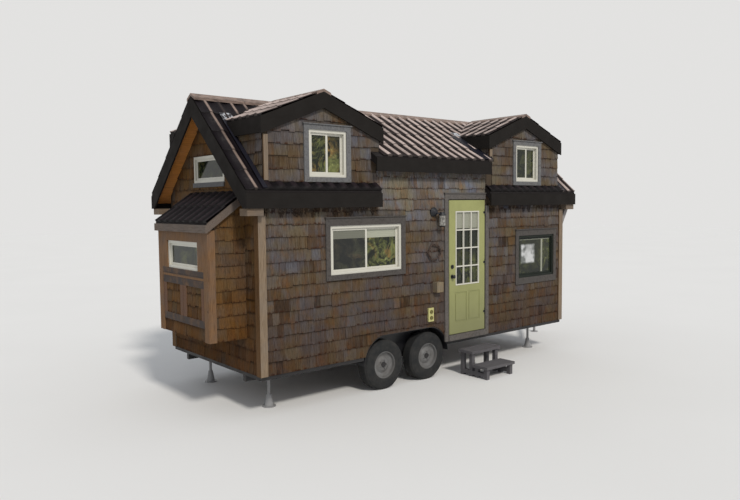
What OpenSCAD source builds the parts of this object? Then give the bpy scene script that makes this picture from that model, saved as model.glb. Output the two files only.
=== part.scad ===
// Tiny house on wheels: a framed cabin on a tandem axle trailer.
// Millimetres, +Z up. Lengths along X run from the left end wall, Y from the
// door side wall inward, heights in the house from the bottom of its walls.
// The origin lies on the ground under the middle of the whole outline.

/* [House] */
// Length over the end walls
house_l = 6100; // [6000:10:6300]
// Width over the long walls
house_w = 2500; // [2400:10:2600]
// Thickness of the framed walls
wall_t = 120; // [100:5:140]
// Height of the wall bottoms above the ground
wall_z = 520; // [500:5:560]
// Thickness of the floor deck
floor_t = 86; // [70:2:100]

/* [Roof] */
// Height of the ridge above the wall bottom
ridge_h = 3500; // [3440:10:3600]
// Height of the ridge above the low eaves
low_fall_h = 1275; // [1240:5:1300]
// Height of the ridge above the raised middle eave
mid_fall_h = 795; // [740:5:840]
// Reach of the eaves past the long walls
eave_reach = 140; // [110:5:170]
// Reach of the roof past the end walls
rake_reach = 240; // [190:5:280]
// Thickness of the roof deck and its rafters
roof_t = 95; // [80:5:110]
// Depth of the eave boards
fascia_d = 185; // [170:5:200]
// Thickness of the eave and rake boards
fascia_t = 22; // [18:1:26]
// Depth of the rake boards on the end walls
rake_d = 262; // [240:2:280]
// Width of one leg of the ridge caps
cap_w = 110; // [90:5:130]
// Thickness of the ridge caps over the roof slabs
cap_t = 34; // [28:1:38]

/* [Dormers] */
// Distance from the left end wall to the first dormer ridge
dormer_x = 950; // [940:5:960]
// Distance from the second dormer ridge to the right end wall
dormer_end = 1050; // [1040:5:1060]
// Distance from a dormer ridge to the face of its left cheek
dormer_left = 875; // [860:5:885]
// Distance from a dormer ridge to the face of its right cheek
dormer_right = 935; // [920:5:945]
// Height of a dormer ridge above the left edge of its roof
dormer_fall_h = 370; // [340:5:390]
// Reach of the dormer roofs past their walls
dormer_reach = 50; // [44:1:60]
// Depth of the dormer boards
dormer_board_d = 205; // [180:5:220]
// Thickness of the dormer cheeks
cheek_t = 100; // [80:5:110]

/* [Middle] */
// Start of the raised middle eave
mid_x0 = 1740; // [1700:5:1780]
// Distance from the end of the raised middle eave to the right end wall
mid_end = 2020; // [2000:5:2040]
// End of the left low eave
low_x0 = 1835; // [1800:5:1870]
// Gap between the door and the right low eave
low_gap = 25; // [20:1:40]

/* [Door] */
// Distance from the hinge side of the door to the right end wall
door_end = 2055; // [2045:5:2065]
// Width of the door slab
door_w = 800; // [780:5:810]
// Height of the door slab
door_h = 2030; // [2000:5:2035]
// Thickness of the door slab
door_t = 44; // [38:1:50]
// Gap round the door slab
door_gap = 5; // [5:1:7]
// Thickness of the door jambs
jamb_t = 20; // [18:1:26]
// Width of the boards round the door
door_casing_w = 75; // [65:5:85]
// Side of the glazed part of the door from the slab edge
lite_edge = 135; // [120:5:150]
// Height of the glazed part above the slab bottom
lite_z = 740; // [700:10:780]
// Panes across the door
lite_cols = 3; // [2:1:4]
// Panes up the door
lite_rows = 4; // [3:1:5]
// Width of the glazing bars
lite_bar = 18; // [14:1:22]
// Height of the door knob above the slab bottom
knob_z = 880; // [850:5:920]

/* [Windows] */
// Width of the long window
long_win_w = 1240; // [1180:10:1280]
// Height of the long window
long_win_h = 640; // [600:10:660]
// Place of the middle of the long window as a share of the house length
long_win_share = 0.272; // [0.269:0.001:0.275]
// Height of the low eaves above the long window
long_head_h = 423; // [410:2:440]
// Width of the dark window
dark_win_w = 965; // [920:5:980]
// Height of the dark window
dark_win_h = 703; // [660:5:720]
// Distance from the middle of the dark window to the right end wall
dark_win_end = 718; // [710:2:730]
// Height of the low eaves above the dark window
dark_head_h = 694; // [680:2:710]
// Width and height of the dormer windows
dormer_win = 595; // [560:5:610]
// Height of the ridges above the dormer windows
dormer_head_h = 478; // [470:2:490]
// Shift of the dormer windows from the dormer ridges
dormer_win_off = 70; // [50:5:80]
// Width of the end wall windows
end_win_w = 865; // [820:5:880]
// Height of the end wall windows
end_win_h = 354; // [330:2:360]
// Height of the ridge above the end wall windows
end_head_h = 761; // [745:2:770]
// Face width of the window frames
frame_w = 36; // [30:1:42]
// Face width of the sashes
sash_w = 30; // [26:1:34]
// Depth of the window frames in the wall
frame_d = 80; // [76:1:90]
// Thickness of the glass
glass_t = 6; // [4:1:8]
// Width of the boards round the windows
casing_w = 72; // [64:1:80]
// Thickness of the boards round doors and windows
casing_t = 28; // [24:1:32]
// Depth of the drip cap over each window
drip_t = 14; // [10:1:18]
// Width of the corner boards
corner_w = 75; // [65:5:85]

/* [Bump-out] */
// Depth of the bump-out past the left end wall
bump_d = 495; // [460:5:520]
// Width of the bump-out
bump_w = 1380; // [1340:10:1400]
// Distance from the door side wall to the bump-out
bump_y = 330; // [300:5:360]
// Bottom of the bump-out
bump_z = 434; // [420:2:450]
// Height of the end wall window above the bump-out roof
bump_gap_h = 135; // [120:1:150]
// Height that the bump-out roof rises from its outer edge to the wall
bump_fall_h = 400; // [370:5:430]
// Thickness of the bump-out walls
bump_t = 60; // [50:5:70]
// Reach of the bump-out roof past its walls
bump_reach = 65; // [55:5:75]
// Thickness of the bump-out roof
bump_roof_t = 70; // [60:2:80]
// Width of the bump-out window
bump_win_w = 879; // [840:5:900]
// Height of the bump-out window
bump_win_h = 355; // [330:5:370]
// Height of the bump-out roof edge above the bump-out window
bump_head_h = 214; // [205:1:225]
// Width of the boards on the bump-out
bump_board_w = 120; // [110:5:130]
// Share of the face under the window that the framed panels take
panel_share = 0.78; // [0.7:0.01:0.82]

/* [Trailer] */
// Radius of the tyres
tyre_r = 350; // [340:2:360]
// Width of the tyres
tyre_w = 205; // [195:5:215]
// Radius of the rims
rim_r = 190; // [180:2:200]
// Distance from the right axle to the door
axle_gap = 415; // [412:1:425]
// Spacing of the two axles
axle_pitch = 840; // [820:5:860]
// Radius of the wheel arches
arch_r = 395; // [385:1:396]
// Height of the arch centres below the wall bottom
arch_drop = 133; // [128:1:140]
// Thickness of the arch sheet
arch_t = 8; // [5:1:10]
// Radius of the axle beams
axle_r = 38; // [34:1:40]
// Distance between the outer faces of the chassis rails
rail_span = 1700; // [1660:10:1740]
// Height of the chassis rails
rail_h = 80; // [70:5:84]
// Width of the chassis rails
rail_w = 60; // [50:5:70]
// Height of the cross members
cross_h = 50; // [45:5:55]
// Number of cross members
cross_n = 11; // [9:1:13]
// Length of the tongue past the right end wall
tongue_l = 1150; // [1050:10:1250]
// Radius of the coupler socket
coupler_r = 26; // [24:1:27]
// Radius of the stand feet
foot_r = 90; // [80:5:100]

/* [Steps] */
// Width of the steps
step_w = 640; // [600:10:700]
// Depth of each tread
tread_d = 285; // [270:5:300]
// Thickness of each tread
tread_t = 40; // [36:1:46]
// Height of the lower tread top above the ground
step_rise = 192; // [180:2:200]
// Side of the step posts
post_w = 60; // [50:2:70]

/* [Fittings] */
// Radius of the wreath ring
wreath_r = 120; // [105:5:130]
// Height of the lantern
lantern_h = 285; // [260:5:310]
// Width of the wall planter
planter_w = 130; // [120:5:140]
// Width of the socket plate
plate_w = 105; // [95:5:115]

/* [Hidden] */

// Smoothness of round parts
$fn = 48;
// Overlap of cutting shapes past the faces they cut
cut = 10;
// Clearance of a seat between curved or coated faces
seat = 0.3;
// Half the width, which is where the ridge runs
mid_w = house_w / 2;

// Heights of the eaves at their outer edges
low_eave_h = ridge_h - low_fall_h;
mid_eave_h = ridge_h - mid_fall_h;
main_slope = low_fall_h / (mid_w + eave_reach);
mid_slope = mid_fall_h / (mid_w + eave_reach);
dormer_slope = dormer_fall_h / (dormer_left + dormer_reach);
// Roof thickness measured straight down
main_drop = roof_t * sqrt(1 + main_slope * main_slope);
mid_drop = roof_t * sqrt(1 + mid_slope * mid_slope);
slab_drop = roof_t * sqrt(1 + dormer_slope * dormer_slope);

function main_h(y, drop = 0) = ridge_h - drop - main_slope * abs(y - mid_w);
function mid_h(y, drop = 0) = ridge_h - drop - mid_slope * abs(y - mid_w);
function dormer_h(dx, drop = 0) = ridge_h - drop - dormer_slope * abs(dx);
// Places along a dormer roof where its profile starts, bends and ends
function dormer_xs(dx0, dx1) = concat([dx0], dx0 < 0 && dx1 > 0 ? [0] : [], [dx1]);
// The same places from right to left
function dormer_back_xs(dx0, dx1) = concat([dx1], dx0 < 0 && dx1 > 0 ? [0] : [], [dx0]);

// Top of the low walls and of the raised middle wall at the outer face
low_plate = main_h(0, main_drop + seat);
mid_plate = mid_h(0, mid_drop + seat);
// Bottoms of the windows
long_win_z = low_eave_h - long_head_h - long_win_h;
dark_win_z = low_eave_h - dark_head_h - dark_win_h;
dormer_win_z = ridge_h - dormer_head_h - dormer_win;
end_win_z = ridge_h - end_head_h - end_win_h;
// Heights of the bump-out roof where it meets the wall and at its outer edge
bump_top_h = end_win_z - bump_gap_h;
bump_eave_h = bump_top_h - bump_fall_h;
bump_win_z = bump_eave_h - bump_head_h - bump_win_h;
// Places along the house: dormer ridges and walls, raised eave, door, windows and axle
ridge_x = [dormer_x, house_l - dormer_end];
left_cheek = [for (x = ridge_x) x - dormer_left];
right_cheek = [for (x = ridge_x) x + dormer_right];
mid_x1 = house_l - mid_end;
door_x = house_l - door_end - door_w;
long_win_x = house_l * long_win_share;
dark_win_x = house_l - dark_win_end;
axle_x = door_x - axle_gap;
// Start of the right low eave, beside the door
low_x1 = door_x + door_w + low_gap;
// Depth that the roof prisms are drawn past the walls and below the roof
far = 400;
prism_z = 1400;

// Clear opening between the door jambs and the rough opening in the wall
jamb_x0 = door_x - door_gap;
jamb_x1 = door_x + door_w + door_gap;
rough_x0 = jamb_x0 - jamb_t;
rough_x1 = jamb_x1 + jamb_t;
door_z = floor_t + door_gap + 4;
door_top = door_z + door_h;
rough_z = door_top + door_gap + jamb_t;
threshold_t = 20;
// Outer face of the closed door
door_face = -casing_t + 6;

// Bounds of the whole outline
out_x0 = -bump_d - bump_reach;
out_x1 = house_l + tongue_l;
step_y0 = -60;
out_y0 = step_y0 - 2 * tread_d;
out_y1 = house_w + eave_reach;
centre_x = (out_x0 + out_x1) / 2;
centre_y = (out_y0 + out_y1) / 2;

axle_xs = [axle_x - axle_pitch, axle_x];
rail_y0 = mid_w - rail_span / 2;
rail_y1 = mid_w + rail_span / 2;
arch_top = arch_r - arch_drop;
tyre_gap = 15;
// Width of the arches from the wall face inward, past the tyres
arch_w = tyre_gap + tyre_w + 30;

module on_ground() translate([-centre_x, -centre_y, 0]) children();
module on_house() translate([-centre_x, -centre_y, wall_z]) children();
module box(x0, x1, y0, y1, z0, z1) translate([x0, y0, z0]) cube([x1 - x0, y1 - y0, z1 - z0]);
// Mirrors the door side onto the back
module back() translate([0, house_w, 0]) mirror([0, 1, 0]) children();
// Draws on the door side and again on the back
module both_sides() {
    children();
    back() children();
}
// Draws at the left end and again, mirrored, at the right end
module both_ends() {
    children();
    translate([house_l, 0, 0]) mirror([1, 0, 0]) children();
}
// Local frames with X along the face, Y into the wall and Z up
module on_front(x, z) translate([x, 0, z]) children();
module on_back(x, z) back() on_front(x, z) children();
module on_left(y, z, x = 0) translate([x, y, z]) rotate([0, 0, -90]) children();
module on_right(y, z) translate([house_l, y, z]) rotate([0, 0, 90]) children();

// Space under a roof whose ridge runs along the house
module under_long(x0, x1, slope, drop)
    translate([x0, 0, 0]) rotate([90, 0, 90]) linear_extrude(x1 - x0) polygon([
        [-far, prism_z], [house_w + far, prism_z],
        [house_w + far, ridge_h - drop - slope * (mid_w + far)],
        [mid_w, ridge_h - drop],
        [-far, ridge_h - drop - slope * (mid_w + far)]]);
module under_main(x0, x1, drop = 0) under_long(x0, x1, main_slope, drop);
module under_mid(x0, x1, drop = 0) under_long(x0, x1, mid_slope, drop);
// Slab of a roof whose ridge runs along the house
module long_slab(x0, x1, slope, drop, reach)
    translate([x0, 0, 0]) rotate([90, 0, 90]) linear_extrude(x1 - x0) polygon([
        [-reach, ridge_h - slope * (mid_w + reach)],
        [-reach, ridge_h - drop - slope * (mid_w + reach)],
        [mid_w, ridge_h - drop],
        [house_w + reach, ridge_h - drop - slope * (mid_w + reach)],
        [house_w + reach, ridge_h - slope * (mid_w + reach)],
        [mid_w, ridge_h]]);
// Space under a dormer roof between two walls, measured from its ridge
module under_dormer(i, dx0, dx1, y0, y1, drop = 0)
    translate([ridge_x[i], y1, 0]) rotate([90, 0, 0]) linear_extrude(y1 - y0) polygon(concat(
        [[dx1, prism_z], [dx0, prism_z]], [for (x = dormer_xs(dx0, dx1)) [x, dormer_h(x, drop)]]));
// Band of a dormer roof profile between two drops
module dormer_band(i, dx0, dx1, y0, y1, drop0, drop1)
    translate([ridge_x[i], y1, 0]) rotate([90, 0, 0]) linear_extrude(y1 - y0) polygon(concat(
        [for (x = dormer_xs(dx0, dx1)) [x, dormer_h(x, drop1)]],
        [for (x = dormer_back_xs(dx0, dx1)) [x, dormer_h(x, drop0)]]));

// A rectangular ring in the XZ plane, centred in X, standing on Z = 0
module ring(w, h, rim, y0, y1)
    difference() {
        box(-w / 2, w / 2, y0, y1, 0, h);
        box(-w / 2 + rim, w / 2 - rim, y0 - cut, y1 + cut, rim, h - rim);
    }
// Hole for a window through a wall of thickness t
module win_hole(w, h, t = wall_t) box(-w / 2, w / 2, -cut, t + cut, 0, h);
// Places of the two sashes of a slider: centre, depth and size
sash_y = [22, 46];
sash_t = 24;
function sash_size(w, h, n) = [(w - 2 * frame_w) / n + (n > 1 ? sash_w / 2 : 0), h - 2 * frame_w];
function sash_centre(w, i, n) = n == 1 ? 0 : (i * 2 - 1) * ((w - 2 * frame_w) - sash_size(w, 0, n)[0]) / 2;
// Window frame with one fixed light or two sliding sashes
module win_frame(w, h, n = 2) {
    ring(w, h, frame_w, -12, frame_d - 12);
    for (i = [0 : n - 1])
        translate([sash_centre(w, i, n), 0, frame_w])
            ring(sash_size(w, h, n)[0], sash_size(w, h, n)[1], sash_w, sash_y[i] - 12, sash_y[i] + sash_t - 12);
}
module win_glass(w, h, n = 2)
    for (i = [0 : n - 1])
        translate([sash_centre(w, i, n), sash_y[i] + sash_t / 2 - 12, frame_w + sash_w])
            box(sash_w - sash_size(w, h, n)[0] / 2, sash_size(w, h, n)[0] / 2 - sash_w,
                -glass_t / 2, glass_t / 2, 0, sash_size(w, h, n)[1] - 2 * sash_w);
// Boards round a window: sides between a head board and a sill board, and a drip cap
module win_casing(w, h, head, foot) {
    for (s = [-1, 1])
        translate([s * (w + casing_w) / 2, 0, 0]) box(-casing_w / 2, casing_w / 2, -casing_t, 0, 0, h);
    box(-w / 2 - casing_w, w / 2 + casing_w, -casing_t, 0, h, h + head);
    box(-w / 2 - casing_w, w / 2 + casing_w, -casing_t, 0, -foot, 0);
    box(-w / 2 - casing_w - drip_t, w / 2 + casing_w + drip_t, -casing_t - drip_t, 0, h + head, h + head + drip_t);
}

// Board under a window that has no other boards
module win_sill(w, foot) box(-w / 2 - 10, w / 2 + 10, -casing_t, 0, -foot, 0);

// Placed windows, one module per kind, so that holes, frames, glass and boards agree
module at_long_windows(front = true) {
    if (front) on_front(long_win_x, long_win_z) children();
    else on_back(long_win_x, long_win_z) children();
}
module at_dark_windows(front = true) {
    if (front) on_front(dark_win_x, dark_win_z) children();
    else on_back(dark_win_x, dark_win_z) children();
}
module at_dormer_window(i, front = true) {
    if (front) on_front(ridge_x[i] + dormer_win_off, dormer_win_z) children();
    else on_back(ridge_x[i] + dormer_win_off, dormer_win_z) children();
}
bump_mid = bump_y + bump_w / 2;
module at_bump_window() on_left(bump_mid, bump_win_z, -bump_d) children();

// Outline of the two joined wheel arches
module arch_shape(r, y0, y1)
    translate([0, y1, -arch_drop]) rotate([90, 0, 0]) linear_extrude(y1 - y0) union() {
        for (x = axle_xs) translate([x, 0]) circle(r);
        translate([axle_xs[0], -r]) square([axle_pitch, 2 * r]);
    }

// Ends of the wheel arches along the house
arch_x0 = axle_xs[0] - arch_r - seat;
arch_x1 = axle_xs[1] + arch_r + seat;
function in_arches(x) = x + rail_w > arch_x0 && x < arch_x1;
// Two main rails under the cross members and a side rail along each wall between its arches
module chassis_rails()
    color("dimgray") on_house() both_sides() {
        box(0, house_l, rail_y0, rail_y0 + rail_w, -cross_h - rail_h, -cross_h);
        box(0, arch_x0, 0, rail_w, -cross_h, 0);
        box(arch_x1, house_l, 0, rail_w, -cross_h, 0);
    }
module cross_members()
    color("dimgray") on_house() for (i = [0 : cross_n - 1]) {
        x = i * (house_l - rail_w) / (cross_n - 1);
        inset = in_arches(x) ? arch_w + seat : rail_w;
        box(x, x + rail_w, inset, house_w - inset, -cross_h, 0);
    }

// Where the tongue rails meet behind the coupler
tongue_tip = house_l + tongue_l - 230;
tongue_z = -cross_h - rail_h;
module tongue_rail() {
    run = tongue_tip - house_l;
    rise = mid_w - rail_y0 - rail_w;
    translate([house_l, rail_y0, tongue_z]) linear_extrude(rail_h)
        polygon([[0, 0], [0, rail_w * 1.1], [run, rise + rail_w], [run, rise]]);
}
module tongue() color("dimgray") on_house() both_sides() tongue_rail();
coupler_l = 150;
module coupler()
    color("silver") on_house() translate([0, mid_w, 0]) difference() {
        union() {
            box(tongue_tip, tongue_tip + coupler_l, -rail_w, rail_w, tongue_z, tongue_z + rail_h);
            translate([house_l + tongue_l - 80, 0, tongue_z]) cylinder(r = 80, h = rail_h);
        }
        translate([house_l + tongue_l - 80, 0, tongue_z - cut]) cylinder(r = coupler_r, h = rail_h - 20 + cut);
    }
jack_x = tongue_tip + 35;
jack_h = 330;
handle_l = 130;
module tongue_jack()
    color("silver") on_ground() translate([jack_x, mid_w, 0]) {
        cylinder(r = 70, h = 12);
        translate([0, 0, 12]) cylinder(r = 24, h = wall_z + tongue_z - 12);
        translate([0, 0, wall_z + tongue_z + rail_h]) cylinder(r = 30, h = jack_h);
        translate([0, 0, wall_z + tongue_z + rail_h + jack_h - 30])
            rotate([0, 90, 0]) cylinder(r = 9, h = handle_l);
    }

axle_z = tyre_r;
// Distance from a tyre's outer face to the end of its axle
axle_in = 30;
module axles()
    color("dimgray") on_ground()
        for (x = axle_xs) translate([x, tyre_gap + axle_in, axle_z])
            rotate([-90, 0, 0]) cylinder(r = axle_r, h = house_w - 2 * (tyre_gap + axle_in));

spring_half = axle_pitch / 2 - 60;
spring_sag = wall_z - cross_h - rail_h - axle_z + axle_r - 6;
spring_r = (spring_half * spring_half + spring_sag * spring_sag) / (2 * spring_sag);
spring_w = 45;
hanger_h = 140;
module leaf(r0, r1, half)
    intersection() {
        translate([0, 0, spring_r]) rotate([-90, 0, 0]) difference() {
            cylinder(r = r1, h = spring_w, $fn = 180);
            translate([0, 0, -cut]) cylinder(r = r0, h = spring_w + 2 * cut, $fn = 180);
        }
        box(-half, half, 0, spring_w, -60, spring_sag + 60);
    }
module leaf_springs()
    color("black") on_ground() both_sides()
        for (x = axle_xs) translate([x, rail_y0 + rail_w + seat, axle_z - axle_r - seat]) {
            leaf(spring_r, spring_r + 10, spring_half);
            leaf(spring_r + 10 + seat, spring_r + 20, spring_half * 0.7);
            leaf(spring_r + 20 + seat, spring_r + 30, spring_half * 0.4);
            for (s = [-1, 1]) translate([s * (spring_half - 14), 0, 0])
                difference() {
                    box(-14, 14, 0, spring_w, 0, hanger_h);
                    box(-20, 20, -1, spring_w + 1, -1, spring_sag - 2);
                }
        }

module fenders()
    color("#26262a") on_house() both_sides() difference() {
        arch_shape(arch_r, -6, arch_w);
        arch_shape(arch_r - arch_t, -cut, arch_w - arch_t);
        box(0, house_l, -50, house_w, -arch_drop - far * 2, axle_z + axle_r + 3 - wall_z);
    }

module stand() {
    cylinder(r = foot_r, h = 14);
    translate([0, 0, 14]) cylinder(r1 = 60, r2 = 30, h = 150);
    translate([0, 0, 164]) cylinder(r = 20, h = wall_z + tongue_z - 164 - 16);
    translate([-50, -35, wall_z + tongue_z - 16]) cube([100, 70, 16]);
}
module stands()
    color("#7a6a3a") on_ground() both_sides()
        for (x = [350, house_l - 350]) translate([x, rail_y0 + rail_w / 2, 0]) stand();

// Wheel standing on the ground with its outer face towards -Y, its axis on the origin
module wheel() rotate([90, 0, 0]) {
    translate([0, 0, -tyre_w / 2]) rotate_extrude($fn = 72) polygon([
        [rim_r, 6], [rim_r + 30, 0], [tyre_r - 60, 0], [tyre_r - 22, 10], [tyre_r, 34],
        [tyre_r, tyre_w - 34], [tyre_r - 22, tyre_w - 10], [tyre_r - 60, tyre_w],
        [rim_r + 30, tyre_w], [rim_r, tyre_w - 6]]);
    rim();
}
// Rim with a dished disc that runs on the axle, and five wheel nuts
hub_r = axle_r + seat;
nut_ring = 57;
module rim()
    translate([0, 0, -tyre_w / 2]) {
        rotate_extrude($fn = 72) polygon([
            [rim_r, 12], [rim_r, tyre_w - 12], [rim_r - 12, tyre_w - 12],
            [rim_r - 20, tyre_w - 50], [120, tyre_w - 64], [76, tyre_w - 40], [hub_r, tyre_w - 40],
            [hub_r, tyre_w - 70], [50, tyre_w - 70], [74, tyre_w - 58], [116, tyre_w - 78],
            [rim_r - 26, tyre_w - 66], [rim_r - 26, 12]]);
        for (a = [0 : 72 : 288]) rotate([0, 0, a]) translate([nut_ring, 0, tyre_w - 42]) cylinder(r = 10, h = 16, $fn = 6);
    }
module wheel_at(i, is_back)
    color("#303234") on_ground()
        if (is_back) back() translate([axle_xs[i], tyre_gap + tyre_w / 2, tyre_r]) wheel();
        else translate([axle_xs[i], tyre_gap + tyre_w / 2, tyre_r]) wheel();
module wheel_front_left() wheel_at(0, false);
module wheel_front_right() wheel_at(1, false);
module wheel_back_left() wheel_at(0, true);
module wheel_back_right() wheel_at(1, true);

module floor_deck()
    color("#8a6b48") on_house() difference() {
        union() {
            box(wall_t, house_l - wall_t, wall_t, house_w - wall_t, 0, floor_t);
            box(rough_x0, rough_x1, 0, wall_t, 0, floor_t - threshold_t);
        }
        both_sides() arch_shape(arch_r + seat, -cut, arch_w + seat);
    }

module front_wall_left()
    color("#8b7565") on_house() difference() {
        union() {
            box(0, rough_x0, 0, wall_t, 0, low_plate);
            plate_wedge(0, left_cheek[0]);
        }
        at_long_windows() win_hole(long_win_w, long_win_h);
        arch_shape(arch_r + seat, -cut, wall_t + cut);
    }
module front_wall_right()
    color("#8b7565") on_house() difference() {
        union() {
            box(rough_x1, house_l, 0, wall_t, 0, low_plate);
            plate_wedge(right_cheek[1], house_l);
        }
        at_dark_windows() win_hole(dark_win_w, dark_win_h);
    }
// Sloped top of a low wall under the steep roof
module plate_wedge(x0, x1)
    translate([x0, 0, 0]) rotate([90, 0, 90]) linear_extrude(x1 - x0)
        polygon([[0, low_plate], [wall_t, low_plate], [wall_t, main_h(wall_t, main_drop + seat)]]);
// Raised wall between the dormers, from the low plate to the middle roof
module middle_band()
    translate([right_cheek[0], 0, 0]) rotate([90, 0, 90]) linear_extrude(left_cheek[1] - right_cheek[0])
        polygon([[0, low_plate], [wall_t, low_plate], [wall_t, mid_h(wall_t, mid_drop + seat)], [0, mid_plate]]);
module front_wall_over_door()
    color("#8b7565") on_house() difference() {
        union() {
            middle_band();
            box(rough_x0, rough_x1, 0, wall_t, 0, low_plate);
        }
        box(rough_x0, rough_x1, -cut, wall_t + cut, -cut, rough_z);
    }
module back_wall()
    color("#8b7565") on_house() back() difference() {
        union() {
            middle_band();
            box(0, house_l, 0, wall_t, 0, low_plate);
            plate_wedge(0, left_cheek[0]);
            plate_wedge(right_cheek[1], house_l);
        }
        on_front(long_win_x, long_win_z) win_hole(long_win_w, long_win_h);
        on_front(dark_win_x, dark_win_z) win_hole(dark_win_w, dark_win_h);
        arch_shape(arch_r + seat, -cut, wall_t + cut);
    }
// Gabled end wall between the long walls
module end_wall()
    rotate([90, 0, 90]) linear_extrude(wall_t) polygon([
        [wall_t, 0], [house_w - wall_t, 0], [house_w - wall_t, main_h(wall_t, main_drop + seat)],
        [mid_w, ridge_h - main_drop - seat], [wall_t, main_h(wall_t, main_drop + seat)]]);
module left_end_wall()
    color("#8f6034") on_house() difference() {
        end_wall();
        on_left(mid_w, end_win_z) win_hole(end_win_w, end_win_h);
        box(-cut, wall_t + cut, bump_y + bump_t, bump_y + bump_w - bump_t, bump_z + bump_t, bump_arch_h);
    }
// Head of the opening from the room into the bump-out
bump_arch_h = bump_eave_h - 100;
module right_end_wall()
    color("#8b7565") on_house() translate([house_l - wall_t, 0, 0]) difference() {
        end_wall();
        translate([wall_t, 0, 0]) translate([-house_l, 0, 0]) on_right(mid_w, end_win_z) win_hole(end_win_w, end_win_h);
    }

// Front wall and two cheeks of a dormer, from the low plate to the dormer roof
module dormer_walls(i) {
    difference() {
        translate([ridge_x[i], wall_t, 0]) rotate([90, 0, 0]) linear_extrude(wall_t) polygon([
            [-dormer_left, low_plate], [dormer_right, low_plate],
            [dormer_right, dormer_h(dormer_right, slab_drop + seat)],
            [0, ridge_h - slab_drop - seat],
            [-dormer_left, dormer_h(dormer_left, slab_drop + seat)]]);
        on_front(ridge_x[i] + dormer_win_off, dormer_win_z) win_hole(dormer_win, dormer_win);
    }
    difference() {
        under_dormer(i, -dormer_left, cheek_t - dormer_left, wall_t, mid_w, slab_drop + seat);
        if (i == 0) under_main(-cut, ridge_x[0], main_drop);
        else under_mid(ridge_x[0], ridge_x[1], mid_drop);
    }
    difference() {
        under_dormer(i, dormer_right - cheek_t, dormer_right, wall_t, mid_w, slab_drop + seat);
        if (i == 0) under_mid(ridge_x[0], ridge_x[1], mid_drop);
        else under_main(ridge_x[1], house_l + cut, main_drop);
    }
}
module front_dormer_left() color("#8b7565") on_house() dormer_walls(0);
module front_dormer_right() color("#8b7565") on_house() dormer_walls(1);
module back_dormer_left() color("#8b7565") on_house() back() dormer_walls(0);
module back_dormer_right() color("#8b7565") on_house() back() dormer_walls(1);

slab_reach = eave_reach - fascia_t;
// Main roof at the left end: the strip over the end wall and the low eaves under the dormers
module main_roof_left()
    color("#4a3536") on_house() difference() {
        long_slab(-rake_reach + fascia_t, low_x0, main_slope, main_drop, slab_reach);
        under_dormer(0, -dormer_left, dormer_right, 0, house_w, -seat);
        box(ridge_x[0], low_x0 + cut, 0, house_w, prism_z, ridge_h + cut);
    }
module main_roof_right()
    color("#4a3536") on_house() difference() {
        long_slab(low_x1, house_l + rake_reach - fascia_t, main_slope, main_drop, slab_reach);
        under_dormer(1, -dormer_left, dormer_right, 0, house_w, -seat);
        box(low_x1 - cut, ridge_x[1], 0, house_w, prism_z, ridge_h + cut);
    }
module middle_roof()
    color("#4a3536") on_house() difference() {
        long_slab(ridge_x[0], ridge_x[1], mid_slope, mid_drop, slab_reach);
        both_sides() box(ridge_x[0] - cut, mid_x0, -far, 0, prism_z, ridge_h);
        both_sides() box(mid_x1, ridge_x[1] + cut, -far, 0, prism_z, ridge_h);
        under_dormer(0, -dormer_left, dormer_right, 0, house_w, -seat);
        under_dormer(1, -dormer_left, dormer_right, 0, house_w, -seat);
    }
// Dormer roof from front to back, cut where the long roofs rise over it
dormer_slab_reach = dormer_reach - fascia_t;
module dormer_roof(i)
    difference() {
        dormer_band(i, -dormer_left - dormer_slab_reach, dormer_right + dormer_slab_reach,
            -dormer_slab_reach, house_w + dormer_slab_reach, 0, slab_drop);
        children();
    }
module dormer_roof_left()
    color("#4a3536") on_house() dormer_roof(0) {
        under_main(-far, left_cheek[0], -seat);
        under_main(left_cheek[0], ridge_x[0], main_drop);
        under_mid(ridge_x[0], right_cheek[0], mid_drop);
        under_mid(right_cheek[0], right_cheek[0] + far, -seat);
    }
module dormer_roof_right()
    color("#4a3536") on_house() dormer_roof(1) {
        under_mid(ridge_x[0], left_cheek[1], -seat);
        under_mid(left_cheek[1], ridge_x[1], mid_drop);
        under_main(ridge_x[1], right_cheek[1], main_drop);
        under_main(right_cheek[1], right_cheek[1] + far, -seat);
    }

// Board under the outer edge of an eave
module eave_board(x0, x1, h) box(x0, x1, -eave_reach, -slab_reach, h - fascia_d, h);
module eave_boards()
    color("#33343a") on_house() both_sides() {
        eave_board(-rake_reach, low_x0, low_eave_h);
        eave_board(low_x1, house_l + rake_reach, low_eave_h);
        eave_board(mid_x0, mid_x1, mid_eave_h);
    }
module rake_pair()
    difference() {
        long_slab(-rake_reach, -rake_reach + fascia_t, main_slope, rake_d, slab_reach);
        box(-rake_reach - cut, 0, -far, house_w + far, prism_z, low_eave_h - fascia_d);
    }
module rake_boards() color("#33343a") on_house() both_ends() rake_pair();
// Depth of the level boards along the side eaves of the dormers
side_board_d = 190;
// Gabled boards on the dormer fronts and level boards along their side eaves
module dormer_board_set(i) {
    left = -dormer_left - dormer_reach;
    right = dormer_right + dormer_reach;
    difference() {
        union() {
            dormer_band(i, left, right, -dormer_reach, -dormer_slab_reach, 0, dormer_board_d);
            translate([ridge_x[i], 0, 0]) {
                box(left, left + fascia_t, -dormer_slab_reach, mid_w, dormer_h(left, side_board_d), dormer_h(left));
                box(right - fascia_t, right, -dormer_slab_reach, mid_w, dormer_h(right, side_board_d), dormer_h(right));
            }
        }
        if (i == 0) {
            under_main(-far, ridge_x[0], -seat);
            under_mid(ridge_x[0], ridge_x[1], -seat);
        } else {
            under_mid(ridge_x[0], ridge_x[1], -seat);
            under_main(ridge_x[1], house_l + far, -seat);
        }
    }
}
module dormer_boards() color("#33343a") on_house() both_sides() for (i = [0, 1]) dormer_board_set(i);

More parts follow.
